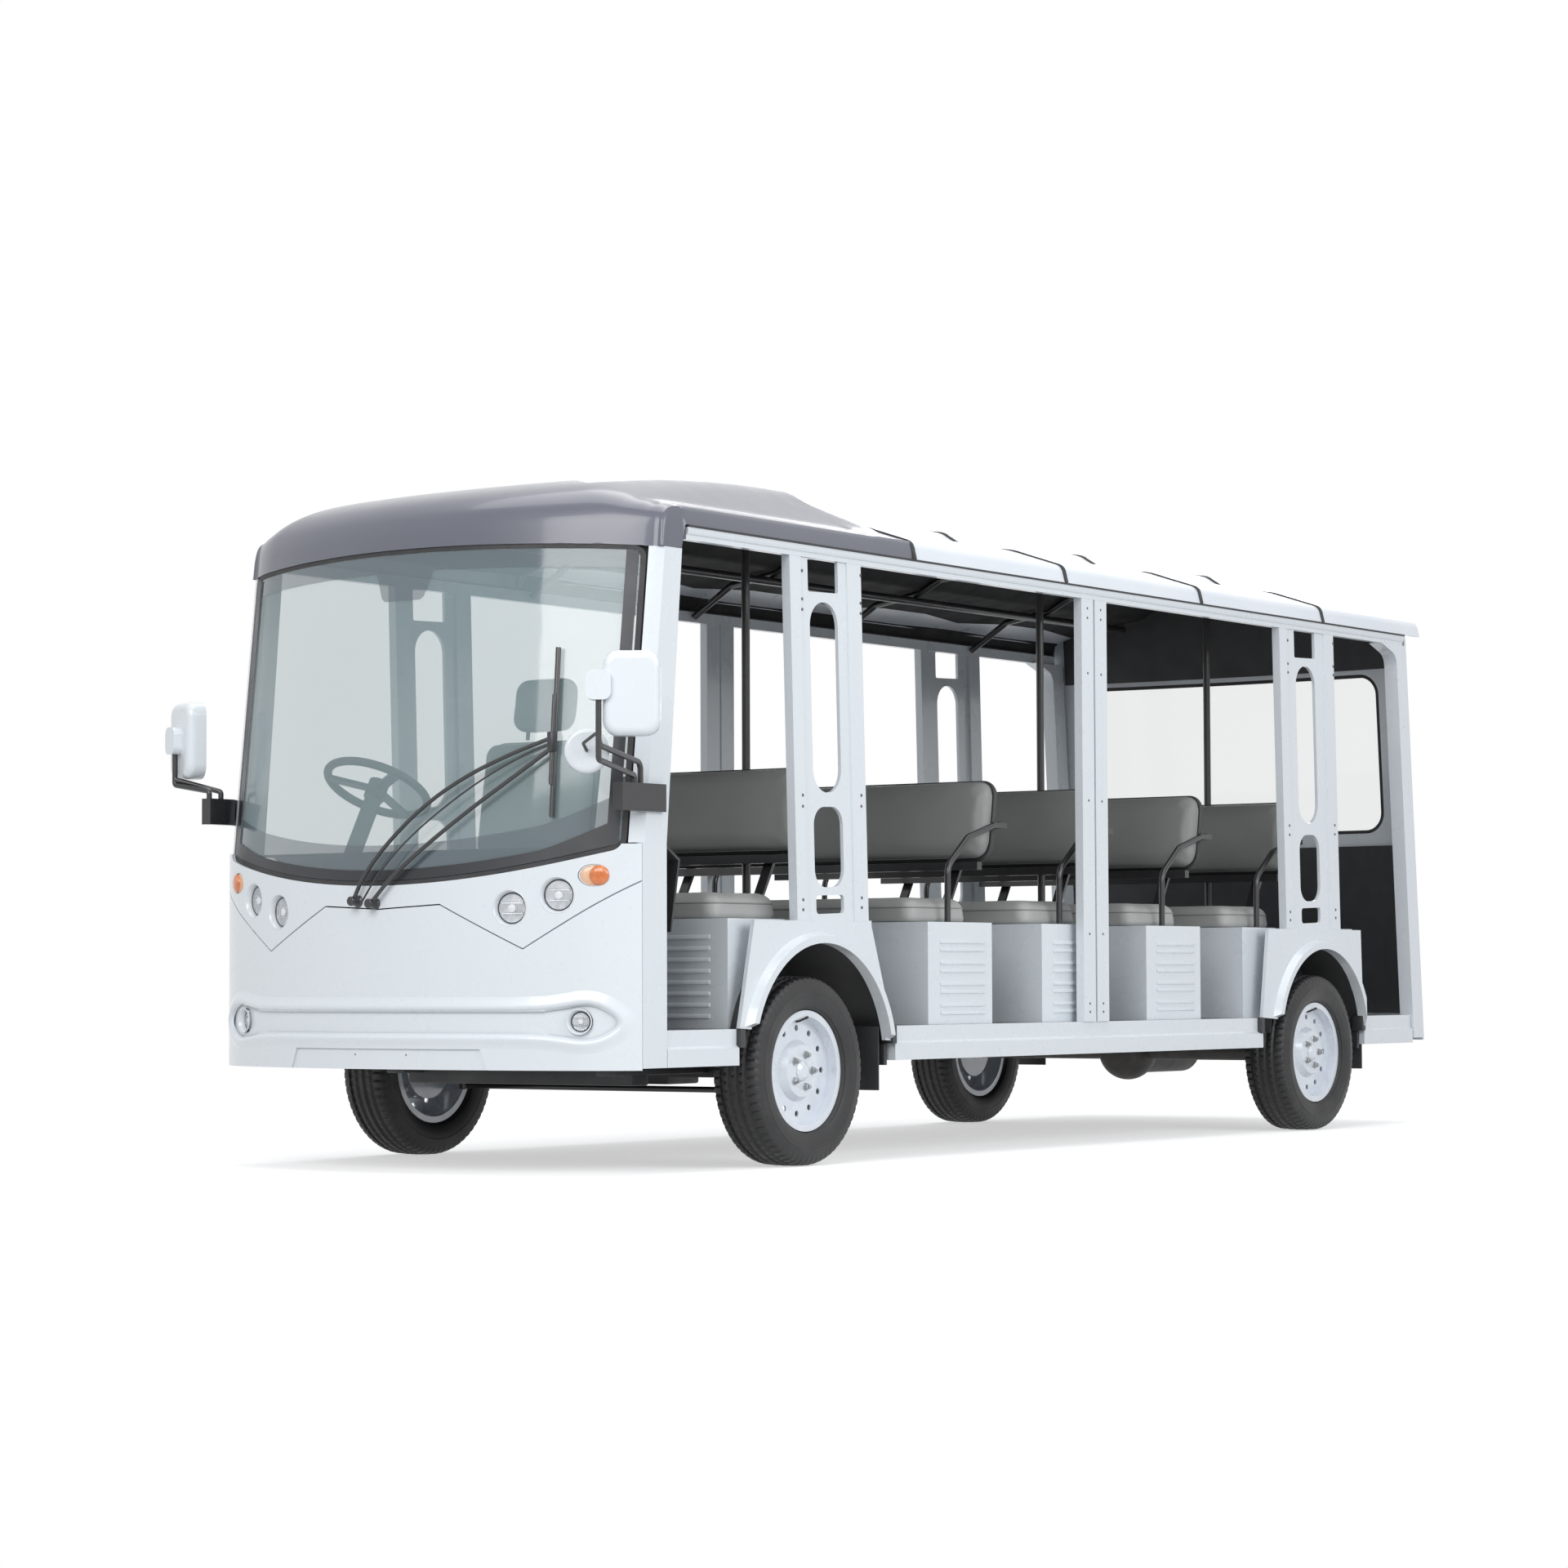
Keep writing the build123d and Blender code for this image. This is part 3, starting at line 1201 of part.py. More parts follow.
with BuildPart() as mirror_glasses:
    for row in (0, 1):
        with BuildSketch(mirror_plane(row, SEAT_GAP - HEAD_BACK)):
            rim = GLASS_RIM + SEAT_GAP
            RectangleRounded(HEAD_W - 2 * rim, HEAD_H - 2 * rim, HEAD_R - rim)
        extrude(amount=GLASS_IN - 2 * SEAT_GAP)
    with BuildSketch(round_plane(SEAT_GAP)):
        Circle(ROUND_MIRROR[3] - 4 - SEAT_GAP)
    extrude(amount=GLASS_IN - 2 * SEAT_GAP)
save(mirror_glasses.part, "mirror_glasses")

def lug_foot(row):
    """Where a mirror's tube meets the underside of its lug."""
    lug_u, lug_v, lug_forward = MIRRORS[row][4:]
    return mirror_plane(row, lug_forward).from_local_coords((lug_u, lug_v - LUG_H / 2 - SEAT_GAP, 0))


with BuildPart() as left_arm:
    low_z, top_z = BRACKET
    add(block(BODY_HALF - 22, ARM_OUT, row_y(-985), row_y(-868), low_z, top_z))
    add(block(BODY_HALF + SEAT_GAP, ARM_OUT, row_y(-985), row_y(-766), low_z, top_z))
    lug = lug_foot(0)
    for start_y, bend_z, turn_z, bend in ((-885, 1262, 1300, 26), (-915, 1222, 1256, 12)):
        path = [(ARM_OUT - ARM_R, row_y(start_y), top_z - 5), (ARM_OUT - ARM_R, row_y(start_y), bend_z)]
        path += [(lug.X, lug.Y, turn_z), (lug.X, lug.Y, lug.Z)]
        add(tube(bent(path, bend), ARM_R))
    stem = round_plane(19).origin
    add(tube(bent([(stem.X, stem.Y, stem.Z), (stem.X + 10, stem.Y - 30, stem.Z + 20), (lug.X, lug.Y, 1340)], 12), 5))
with BuildPart() as right_arm:
    add(block(-ARM_OUT, 22 - BODY_HALF, row_y(-985), row_y(-868), low_z, top_z))
    add(block(-ARM_OUT, -BODY_HALF - SEAT_GAP, row_y(-985), row_y(-766), low_z, top_z))
    lug = lug_foot(1)
    for start_y, bend_z, turn_z in ((-905, 1225, 1268), (-960, 1225, 1250)):
        path = [(ARM_R - ARM_OUT, row_y(start_y), top_z - 5), (ARM_R - ARM_OUT, row_y(start_y), bend_z)]
        path += [(lug.X, lug.Y, turn_z), (lug.X, lug.Y, lug.Z)]
        add(tube(bent(path, 10), ARM_R))
with BuildPart() as mirror_arms:
    add(left_arm.part)
    add(right_arm.part)
save(mirror_arms.part, "mirror_arms")

# Wiper: twin arms from the pivots below the screen to an upright blade beside its edge
WIPER_CLEAR = 24
WIPER_ARMS = (
    ((-70, 850), (60, 878), (190, 940), (320, 1030), (450, 1130), (700, 1322)),
    ((-135, 850), (0, 884), (130, 940), (260, 1030), (400, 1146), (694, 1352)),
)
WIPER_R = 6
BLADE = ((680, 998), (693, 1150), (712, 1338), (738, 1600))
PIVOTS = ((-70, 850), (-135, 850))
PIVOT_R = 17


def skin_y(x, z):
    """Outer face of the nose or of the leaning screen."""
    return bow_y(x) + max(0, lean_shift(z))


with BuildPart() as wiper:
    for arm in WIPER_ARMS:
        with BuildLine() as path:
            FilletPolyline(*[(x, skin_y(x, z) - WIPER_CLEAR, z) for x, z in arm], radius=20)
        add(tube(path.wire(), WIPER_R))
    with BuildLine() as path:
        FilletPolyline(*[(x, skin_y(x, z) - WIPER_CLEAR + 6, z) for x, z in BLADE], radius=20)
    add(tube(path.wire(), WIPER_R + 3))
    for x, z in PIVOTS:
        with BuildSketch(Plane(origin=(x, NOSE_Y - WIPER_REACH, z), x_dir=(1, 0, 0), z_dir=(0, 1, 0))):
            Circle(PIVOT_R)
        extrude(amount=bow_y(x) - SEAT_GAP - NOSE_Y + WIPER_REACH - 1)
save(wiper.part, "wiper")

# Front axle beam and rear axle
BEAM_Z = (281, 341)
BEAM_HALF_Y = 25
BOSS_R = 24
EAR_GAP = 2
with BuildPart() as front_axle:
    add(across(FRONT_AXLE_Y - BEAM_HALF_Y, FRONT_AXLE_Y + BEAM_HALF_Y, *BEAM_Z, KINGPIN_X - BOSS_R / 2))
    with BuildSketch(Plane.XY.offset(BEAM_Z[0])):
        with Locations((KINGPIN_X, FRONT_AXLE_Y), (-KINGPIN_X, FRONT_AXLE_Y)):
            Circle(BOSS_R)
    extrude(amount=BEAM_Z[1] - BEAM_Z[0])
    with BuildSketch(Plane.XY.offset(BEAM_Z[0])):
        with Locations((KINGPIN_X, FRONT_AXLE_Y), (-KINGPIN_X, FRONT_AXLE_Y)):
            Circle(KINGPIN_R + KINGPIN_GAP)
    extrude(amount=BEAM_Z[1] - BEAM_Z[0], mode=Mode.SUBTRACT)
save(front_axle.part, "front_axle")

TUBE_R = 35
REAR_SPINDLE_X = TRACK_HALF - 85
SPINDLE_END = TRACK_HALF + 53
with BuildPart() as rear_axle:
    with BuildSketch(side_plane(0)):
        with Locations((REAR_AXLE_Y, AXLE_Z)):
            Circle(TUBE_R)
    extrude(amount=REAR_SPINDLE_X, both=True)
    with BuildSketch(side_plane(0)):
        with Locations((REAR_AXLE_Y, AXLE_Z)):
            Circle(SPINDLE_R)
    extrude(amount=SPINDLE_END, both=True)
    with Locations((0, REAR_AXLE_Y, AXLE_Z)):
        Sphere(118)
    with BuildSketch(Plane.XZ.offset(-REAR_AXLE_Y)):
        with Locations((0, AXLE_Z)):
            Circle(92)
    extrude(amount=-430)
save(rear_axle.part, "rear_axle")

# Leaf springs on the axles, their ends under the frame's hangers
SPRING_T = 28
SPRING_LOW_Z = BEAM_Z[1] + SEAT_GAP
with BuildPart() as left_springs:
    for axle_y in (FRONT_AXLE_Y, REAR_AXLE_Y):
        with BuildSketch(side_plane(SPRING_X[0])):
            with BuildLine():
                low_end = SPRING_EYE_Z - SPRING_T
                under = ThreePointArc(
                    (axle_y - SPRING_HALF, low_end), (axle_y, SPRING_LOW_Z), (axle_y + SPRING_HALF, low_end)
                )
                over = ThreePointArc(
                    (axle_y + SPRING_HALF, SPRING_EYE_Z),
                    (axle_y, SPRING_LOW_Z + SPRING_T),
                    (axle_y - SPRING_HALF, SPRING_EYE_Z),
                )
                Line(under @ 1, over @ 0)
                Line(over @ 1, under @ 0)
            make_face()
        extrude(amount=SPRING_X[1] - SPRING_X[0])
with BuildPart() as frame_and_springs:
    add(both_sides(left_springs.part))
    add(chassis_frame.part)
save(frame_and_springs.part, "chassis_frame")

# Steering knuckles: ears above and below the beam's boss, kingpin, spindle and rearward arm
EAR_T = 20
PLATE_X = (KINGPIN_X + 26, KINGPIN_X + 46)
PLATE_HALF_Y = 34
ARM_Z = (TIE_ROD_Z + 14, TIE_ROD_Z + 28)
ARM_PIN_R = 8
ARM_END_R = 16
EYE_GAP = 2
EYE_HALF = 11
with BuildPart() as left_knuckle:
    low_z, top_z = BEAM_Z
    for z in (low_z - EAR_GAP - EAR_T, top_z + EAR_GAP):
        with BuildSketch(Plane.XY.offset(z)):
            with Locations((KINGPIN_X, FRONT_AXLE_Y)):
                Circle(BOSS_R)
            with Locations(((KINGPIN_X + PLATE_X[0]) / 2 + 2, FRONT_AXLE_Y)):
                Rectangle(PLATE_X[0] - KINGPIN_X + 4, 2 * BOSS_R)
        extrude(amount=EAR_T)
    ear_low = low_z - EAR_GAP - EAR_T
    ear_top = top_z + EAR_GAP + EAR_T
    add(block(*PLATE_X, FRONT_AXLE_Y - PLATE_HALF_Y, FRONT_AXLE_Y + PLATE_HALF_Y, ear_low, ear_top))
    with BuildSketch(Plane.XY.offset(ear_low)):
        with Locations((KINGPIN_X, FRONT_AXLE_Y)):
            Circle(KINGPIN_R)
    extrude(amount=ear_top - ear_low)
    with BuildSketch(side_plane(PLATE_X[0])):
        with Locations((FRONT_AXLE_Y, AXLE_Z)):
            Circle(SPINDLE_R)
    extrude(amount=SPINDLE_END - PLATE_X[0])
    with BuildSketch(Plane.XY.offset(ARM_Z[0])):
        with BuildLine():
            Polyline(
                (KINGPIN_X - 20, FRONT_AXLE_Y - 8),
                (KINGPIN_X + 26, FRONT_AXLE_Y - 8),
                (KINGPIN_X + 6, FRONT_AXLE_Y + 60),
                (TIE_ROD_X + 14, FRONT_AXLE_Y + STEER_ARM),
                (TIE_ROD_X - 14, FRONT_AXLE_Y + STEER_ARM),
                (KINGPIN_X - 30, FRONT_AXLE_Y + 50),
                close=True,
            )
        make_face()
        with Locations((TIE_ROD_X, FRONT_AXLE_Y + STEER_ARM)):
            Circle(ARM_END_R)
    extrude(amount=ARM_Z[1] - ARM_Z[0])
    with BuildSketch(Plane.XY.offset(TIE_ROD_Z - EYE_HALF - EYE_GAP)):
        with Locations((TIE_ROD_X, FRONT_AXLE_Y + STEER_ARM)):
            Circle(ARM_PIN_R)
    extrude(amount=ARM_Z[0] - TIE_ROD_Z + EYE_HALF + EYE_GAP)
save(left_knuckle.part, "knuckle_left")
with BuildPart() as right_knuckle:
    mirror(left_knuckle.part, about=Plane.YZ)
save(right_knuckle.part, "knuckle_right")

with BuildPart() as tie_rod:
    ends = ((TIE_ROD_X, FRONT_AXLE_Y + STEER_ARM), (-TIE_ROD_X, FRONT_AXLE_Y + STEER_ARM))
    with BuildSketch(side_plane(0)):
        with Locations((FRONT_AXLE_Y + STEER_ARM, TIE_ROD_Z)):
            Circle(EYE_HALF - 1)
    extrude(amount=TIE_ROD_X, both=True)
    with BuildSketch(Plane.XY.offset(TIE_ROD_Z - EYE_HALF)):
        with Locations(*ends):
            Circle(ARM_END_R + 2)
    extrude(amount=2 * EYE_HALF)
    with BuildSketch(Plane.XY.offset(TIE_ROD_Z - EYE_HALF)):
        with Locations(*ends):
            Circle(ARM_PIN_R + KINGPIN_GAP)
    extrude(amount=2 * EYE_HALF, mode=Mode.SUBTRACT)
save(tie_rod.part, "tie_rod")

# Wheels, drawn about the x axis: the rim with its flat disc, the hub with its drum, and the tyre
RIM_OUT = ((-70, 195), (-64, 195), (-64, BEAD_R), (64, BEAD_R), (64, 195), (70, 195))
RIM_SECTION = ((-70, 174), *RIM_OUT, (70, 174), (32, 174), (32, 100), (55, 84), (55, 33.3), (49, 33.3), (49, 80))
RIM_SECTION += ((26, 96), (26, 174))
HUB_SECTION = ((-43, 24), (-43, DRUM_R), (19, DRUM_R), (19, 45), (44, 45), (44, 78), (48.7, 78), (48.7, 33))
HUB_SECTION += ((58, 33), (66, 20), (66, 0), (54, 0), (54, SPINDLE_R + SHAFT_GAP), (-43, SPINDLE_R + SHAFT_GAP))
TREAD_HALF = 70
SHOULDER_R = 303
BULGE_A = TYRE_W / 2


def turned(rows):
    """Solid of revolution about the x axis from rows of place along the axle and radius."""
    with BuildPart() as ring:
        with BuildSketch(Plane.XY):
            with BuildLine():
                Polyline(*rows, close=True)
            make_face()
        revolve(axis=Axis.X)
    return ring.part


with BuildPart() as rim_model:
    add(turned(RIM_SECTION))
    with BuildSketch(side_plane(20)):
        with PolarLocations(RIM_HOLE_RING_R, RIM_HOLES):
            Circle(RIM_HOLE_R)
    extrude(amount=20, mode=Mode.SUBTRACT)
    add(turned(HUB_SECTION[1:]))

with BuildPart() as tyre_model:
    with BuildSketch(Plane.XY):
        with BuildLine():
            for side in (1, -1):
                Polyline((side * 51, 180.3), (side * 63.7, 180.3), (side * 63.7, 196), (side * 74, 198))
                ThreePointArc((side * 74, 198), (side * BULGE_A, 243), (side * 84, 291))
                Line((side * 84, 291), (side * TREAD_HALF, SHOULDER_R))
                Line((side * 51, 180.3), (side * 53, 204))
                ThreePointArc((side * 53, 204), (side * 79, 243), (side * 70, 284))
            ThreePointArc((-TREAD_HALF, SHOULDER_R), (0, TYRE_R), (TREAD_HALF, SHOULDER_R))
            ThreePointArc((-70, 284), (0, 293), (70, 284))
        make_face()
    revolve(axis=Axis.X)

CORNERS = (("front", FRONT_AXLE_Y), ("rear", REAR_AXLE_Y))
for end, axle_y in CORNERS:
    for model, name in ((rim_model, "rim"), (tyre_model, "tyre")):
        left = Pos(TRACK_HALF, axle_y, AXLE_Z) * model.part
        save(left, f"{end}_left_{name}")
        save(mirror(left, about=Plane.YZ), f"{end}_right_{name}")
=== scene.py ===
"""Looks of the open-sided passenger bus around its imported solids."""

import json
import math

import bmesh
import bpy
from mathutils import Matrix, Vector
from mathutils.bvhtree import BVHTree


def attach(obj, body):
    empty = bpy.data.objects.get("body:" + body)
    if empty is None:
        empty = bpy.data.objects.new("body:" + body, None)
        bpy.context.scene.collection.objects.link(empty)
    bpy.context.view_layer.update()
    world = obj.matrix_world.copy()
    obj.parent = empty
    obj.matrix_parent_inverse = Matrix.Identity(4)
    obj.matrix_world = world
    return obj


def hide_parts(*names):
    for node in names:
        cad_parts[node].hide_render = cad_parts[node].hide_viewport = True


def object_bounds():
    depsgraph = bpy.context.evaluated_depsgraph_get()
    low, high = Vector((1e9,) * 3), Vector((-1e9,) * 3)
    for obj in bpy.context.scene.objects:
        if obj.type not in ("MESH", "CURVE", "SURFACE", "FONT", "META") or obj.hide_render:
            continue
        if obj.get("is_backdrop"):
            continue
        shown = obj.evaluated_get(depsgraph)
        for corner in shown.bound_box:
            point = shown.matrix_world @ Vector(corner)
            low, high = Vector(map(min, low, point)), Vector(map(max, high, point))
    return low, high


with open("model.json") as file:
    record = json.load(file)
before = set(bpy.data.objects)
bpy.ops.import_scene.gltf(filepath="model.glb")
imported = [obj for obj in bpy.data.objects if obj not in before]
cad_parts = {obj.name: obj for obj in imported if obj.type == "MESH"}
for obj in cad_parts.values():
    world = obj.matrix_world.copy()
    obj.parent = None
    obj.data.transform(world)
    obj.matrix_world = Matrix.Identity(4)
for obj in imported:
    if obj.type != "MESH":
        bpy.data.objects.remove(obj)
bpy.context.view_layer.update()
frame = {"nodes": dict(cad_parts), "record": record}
nodes = frame["nodes"]
scene = bpy.context.scene

# Driving sizes of the solids, in millimetres
MM = 0.001
NOSE_Y = -2750
TAIL_Y = 2870
BODY_HALF = 858
FRONT_AXLE_Y = -1648
REAR_AXLE_Y = 1842
TRACK_HALF = 785
AXLE_Z = 306
SEAT_Z = 795.3
BOW_R = 1950
BOW_X = 680
CORNER = (838, 92)
LEAN_Z = 900
SCREEN_LEAN = math.tan(math.radians(6.6))
REAR_LEAN = math.tan(math.radians(4.5))
REAR_LOW_Z = 341
LINING_FRONT = -1014
ROW_BACKS = (100, 1235, 1970, 2705, 3440)
WHEELS = (
    ("front_left", TRACK_HALF, FRONT_AXLE_Y, 1),
    ("front_right", -TRACK_HALF, FRONT_AXLE_Y, -1),
    ("rear_left", TRACK_HALF, REAR_AXLE_Y, 1),
    ("rear_right", -TRACK_HALF, REAR_AXLE_Y, -1),
)


def row_y(behind):
    """Place along the bus from the distance behind the front axle."""
    return FRONT_AXLE_Y + behind


# Materials
def map_range(tree, value, low, high, out_low=0.0, out_high=1.0):
    """Node that carries low..high over to out_low..out_high."""
    node = tree.nodes.new("ShaderNodeMapRange")
    limits = {"From Min": low, "From Max": high, "To Min": out_low, "To Max": out_high}
    for socket, number in limits.items():
        node.inputs[socket].default_value = number
    tree.links.new(value, node.inputs["Value"])
    return node


def material(name, color, rough, metal=0.0, coat=0.0, alpha=1.0, tint=None,
             mottle=(3.0, 0.5), rough_spread=0.08, bump=(), sheen=0.0, low_specks=None):
    """Principled surface with mottled colour, uneven roughness and fine relief.

    mottle is a scale and the tint's share, bump lists kind, scale, strength and depth of each
    relief, and the last argument gives the heights where darker specks fade out and their share.
    """
    mat = bpy.data.materials.new(name)
    mat.use_nodes = True
    tree = mat.node_tree
    shader = tree.nodes["Principled BSDF"]
    shader.inputs["Metallic"].default_value = metal
    shader.inputs["Coat Weight"].default_value = coat
    shader.inputs["Coat Roughness"].default_value = 0.08
    shader.inputs["Sheen Weight"].default_value = sheen
    shader.inputs["Alpha"].default_value = alpha
    place = tree.nodes.new("ShaderNodeTexCoord").outputs["Object"]

    def noise(scale, detail=4.0):
        node = tree.nodes.new("ShaderNodeTexNoise")
        node.inputs["Scale"].default_value = scale
        node.inputs["Detail"].default_value = detail
        tree.links.new(place, node.inputs["Vector"])
        return node.outputs["Fac"]

    def blend(factor, first, second):
        node = tree.nodes.new("ShaderNodeMix")
        node.data_type = "RGBA"
        tree.links.new(factor, node.inputs[0])
        for socket, value in ((node.inputs[6], first), (node.inputs[7], second)):
            if isinstance(value, tuple):
                socket.default_value = (*value, 1.0)
            else:
                tree.links.new(value, socket)
        return node.outputs[2]

    def spread(value, *limits):
        return map_range(tree, value, *limits).outputs["Result"]

    other = tint or tuple(c * 0.93 for c in color)
    tone = blend(spread(noise(mottle[0]), 0.35, 0.65, 0.0, mottle[1]), color, other)
    # Darker grey specks toward the bottom, fading out between two heights
    if low_specks:
        height = tree.nodes.new("ShaderNodeSeparateXYZ")
        tree.links.new(place, height.inputs[0])
        low = spread(height.outputs["Z"], low_specks[0], low_specks[1], 1.0, 0.0)
        specks = tree.nodes.new("ShaderNodeMath")
        specks.operation = "MULTIPLY"
        tree.links.new(low, specks.inputs[0])
        tree.links.new(spread(noise(14.0, 8.0), 0.35, 0.75, 0.0, low_specks[2]), specks.inputs[1])
        tone = blend(specks.outputs[0], tone, (0.42, 0.41, 0.39))
    tree.links.new(tone, shader.inputs["Base Color"])
    tree.links.new(spread(noise(9.0, 6.0), 0.3, 0.7, max(0.02, rough - rough_spread),
                          rough + rough_spread),
                   shader.inputs["Roughness"])
    normal = None
    for kind, scale, strength, distance in bump:
        if kind == "noise":
            height = noise(scale, 3.0)
        elif kind == "cells":
            cells = tree.nodes.new("ShaderNodeTexVoronoi")
            cells.inputs["Scale"].default_value = scale
            tree.links.new(place, cells.inputs["Vector"])
            height = cells.outputs["Distance"]
        else:
            waves = tree.nodes.new("ShaderNodeTexWave")
            waves.bands_direction = kind
            waves.inputs["Scale"].default_value = scale
            tree.links.new(place, waves.inputs["Vector"])
            height = waves.outputs["Fac"]
        relief = tree.nodes.new("ShaderNodeBump")
        relief.inputs["Strength"].default_value = strength
        relief.inputs["Distance"].default_value = distance
        tree.links.new(height, relief.inputs["Height"])
        if normal:
            tree.links.new(normal, relief.inputs["Normal"])
        normal = relief.outputs["Normal"]
    if normal:
        tree.links.new(normal, shader.inputs["Normal"])
    return mat


ORANGE_PEEL = (("noise", 55.0, 0.03, 0.0004), ("noise", 1.1, 0.02, 0.004))
GRAIN = (("cells", 520.0, 0.22, 0.0006), ("noise", 1600.0, 0.18, 0.0003))
HIDE = (("cells", 330.0, 0.2, 0.0008), ("noise", 900.0, 0.2, 0.0004), ("noise", 16.0, 0.12, 0.004))

MATS = {
    "body_white": material("body_white_paint", (0.70, 0.742, 0.775), 0.28, coat=0.5,
                           tint=(0.69, 0.73, 0.765), rough_spread=0.02,
                           mottle=(1.6, 0.5), bump=ORANGE_PEEL, low_specks=(0.32, 0.50, 0.03)),
    "roof_white": material("roof_white_shell", (0.74, 0.77, 0.81), 0.34, coat=0.35,
                           tint=(0.68, 0.72, 0.77), mottle=(2.4, 0.7), bump=ORANGE_PEEL),
    "cap_grey": material("cap_slate_paint", (0.112, 0.118, 0.150), 0.30, coat=0.4,
                         tint=(0.102, 0.108, 0.138), rough_spread=0.03,
                         mottle=(2.0, 0.7), bump=ORANGE_PEEL),
    "black_paint": material("black_powder_coat", (0.018, 0.018, 0.020), 0.34, coat=0.3,
                            mottle=(20.0, 0.6),
                            tint=(0.026, 0.026, 0.028), bump=(("noise", 900.0, 0.12, 0.0004),)),
    "rubber": material("rubber_black", (0.022, 0.022, 0.024), 0.62, tint=(0.035, 0.035, 0.036),
                       mottle=(30.0, 0.6), bump=(("noise", 700.0, 0.2, 0.0004),)),
    "grey_vinyl": material("seat_vinyl_grey", (0.40, 0.405, 0.39), 0.46, tint=(0.35, 0.355, 0.345),
                           mottle=(6.0, 0.7), bump=HIDE, sheen=0.05),
    "grey_shell": material("back_vinyl_grey", (0.255, 0.26, 0.25), 0.46, tint=(0.22, 0.225, 0.215),
                           mottle=(5.0, 0.7), bump=HIDE, sheen=0.05),
    "floor_mat": material("floor_mat_grey", (0.16, 0.165, 0.17), 0.66, tint=(0.11, 0.112, 0.118),
                          mottle=(10.0, 0.7),
                          bump=(("cells", 60.0, 0.5, 0.0015), ("noise", 800.0, 0.2, 0.0004))),
    "black_plastic": material("black_plastic_grain", (0.028, 0.029, 0.031), 0.52,
                              tint=(0.040, 0.041, 0.043), mottle=(12.0, 0.6), bump=GRAIN),
    "lamp_orange": material("lens_orange", (0.75, 0.20, 0.03), 0.14, coat=1.0,
                            tint=(0.55, 0.11, 0.01),
                            mottle=(60.0, 0.7), bump=(("X", 110.0, 0.5, 0.002),)),
    "lamp_red": material("lens_red", (0.48, 0.02, 0.02), 0.14, coat=1.0, tint=(0.30, 0.01, 0.01),
                         mottle=(50.0, 0.7),
                         bump=(("X", 70.0, 0.5, 0.002), ("Z", 70.0, 0.5, 0.002))),
    "mirror": material("mirror_silver", (0.82, 0.84, 0.86), 0.03, metal=1.0, rough_spread=0.01,
                       bump=(("noise", 3.0, 0.01, 0.001),)),
    "tyre": material("tyre_rubber", (0.011, 0.011, 0.012), 0.52, tint=(0.018, 0.018, 0.019),
                     mottle=(14.0, 0.8),
                     bump=(("noise", 600.0, 0.25, 0.0005), ("noise", 60.0, 0.1, 0.001))),
    "rim_steel": material("rim_white_steel", (0.74, 0.78, 0.83), 0.28, coat=0.4, metal=0.15,
                          tint=(0.66, 0.70, 0.76), mottle=(14.0, 0.6),
                          bump=(("noise", 500.0, 0.08, 0.0004),)),
    "cast_steel": material("cast_steel_dark", (0.070, 0.070, 0.072), 0.58, metal=0.5,
                           tint=(0.11, 0.10, 0.09),
                           mottle=(22.0, 0.8), bump=(("noise", 320.0, 0.35, 0.0010),)),
    "battery_case": material("battery_case_black", (0.05, 0.05, 0.055), 0.5,
                             tint=(0.08, 0.08, 0.085), mottle=(9.0, 0.6),
                             bump=(("Z", 18.0, 0.4, 0.004), ("noise", 500.0, 0.2, 0.0004))),
    "lamp_clear": material("lens_clear", (0.86, 0.88, 0.90), 0.06, coat=1.0, alpha=0.28,
                           rough_spread=0.02, bump=(("X", 60.0, 0.4, 0.002),)),
    "glass_tint": material("glass_teal_tint", (0.30, 0.405, 0.425), 0.05, coat=1.0, alpha=0.42,
                           tint=(0.27, 0.375, 0.395), mottle=(1.1, 0.6), rough_spread=0.01,
                           bump=(("noise", 1.4, 0.02, 0.002),)),
}
CHROME = material("reflector_chrome", (0.80, 0.82, 0.84), 0.10, metal=1.0, tint=(0.66, 0.68, 0.70),
                  mottle=(40.0, 0.6), rough_spread=0.04, bump=(("X", 45.0, 0.25, 0.002),))
ZINC = material("bolt_zinc", (0.42, 0.43, 0.44), 0.34, metal=0.9, tint=(0.30, 0.31, 0.32),
                mottle=(90.0, 0.8), bump=(("noise", 900.0, 0.3, 0.0004),))
RIVET = material("rivet_dark", (0.10, 0.105, 0.11), 0.40, metal=0.5, mottle=(120.0, 0.7),
                 bump=(("noise", 900.0, 0.3, 0.0003),))
LINING = material("roof_lining_black", (0.006, 0.006, 0.007), 0.85, tint=(0.012, 0.012, 0.014),
                  mottle=(3.0, 0.7),
                  bump=(("cells", 260.0, 0.25, 0.0008), ("noise", 1.8, 0.3, 0.01)))
FRIT = material("glass_edge_black", (0.012, 0.013, 0.016), 0.42, coat=0.1, mottle=(3.0, 0.5),
                tint=(0.020, 0.024, 0.030), bump=(("noise", 2.0, 0.02, 0.002),))
# Tint of the band at the top of the screen, also used as painted shade along its bottom
TINT_AND_PAINTED_SHADE = material("glass_tint_and_painted_shade", (0.13, 0.17, 0.195), 0.08, coat=1.0, alpha=0.62,
                 mottle=(1.5, 0.5), tint=(0.10, 0.14, 0.165), bump=(("noise", 1.5, 0.02, 0.002),))
PEARL = material("bulb_frosted", (0.88, 0.90, 0.92), 0.25, alpha=1.0, mottle=(60.0, 0.4),
                 bump=(("noise", 300.0, 0.1, 0.0005),))
AMBER_PALE = material("lens_pale_amber", (0.82, 0.52, 0.34), 0.16, coat=1.0,
                      tint=(0.80, 0.36, 0.14), mottle=(22.0, 0.9), bump=(("X", 90.0, 0.5, 0.002),))
REFLECTOR = material("lamp_bowl_grey", (0.66, 0.68, 0.71), 0.16, metal=1.0, tint=(0.42, 0.44, 0.47),
                     mottle=(46.0, 0.9), rough_spread=0.06, bump=(("X", 45.0, 0.4, 0.003),))

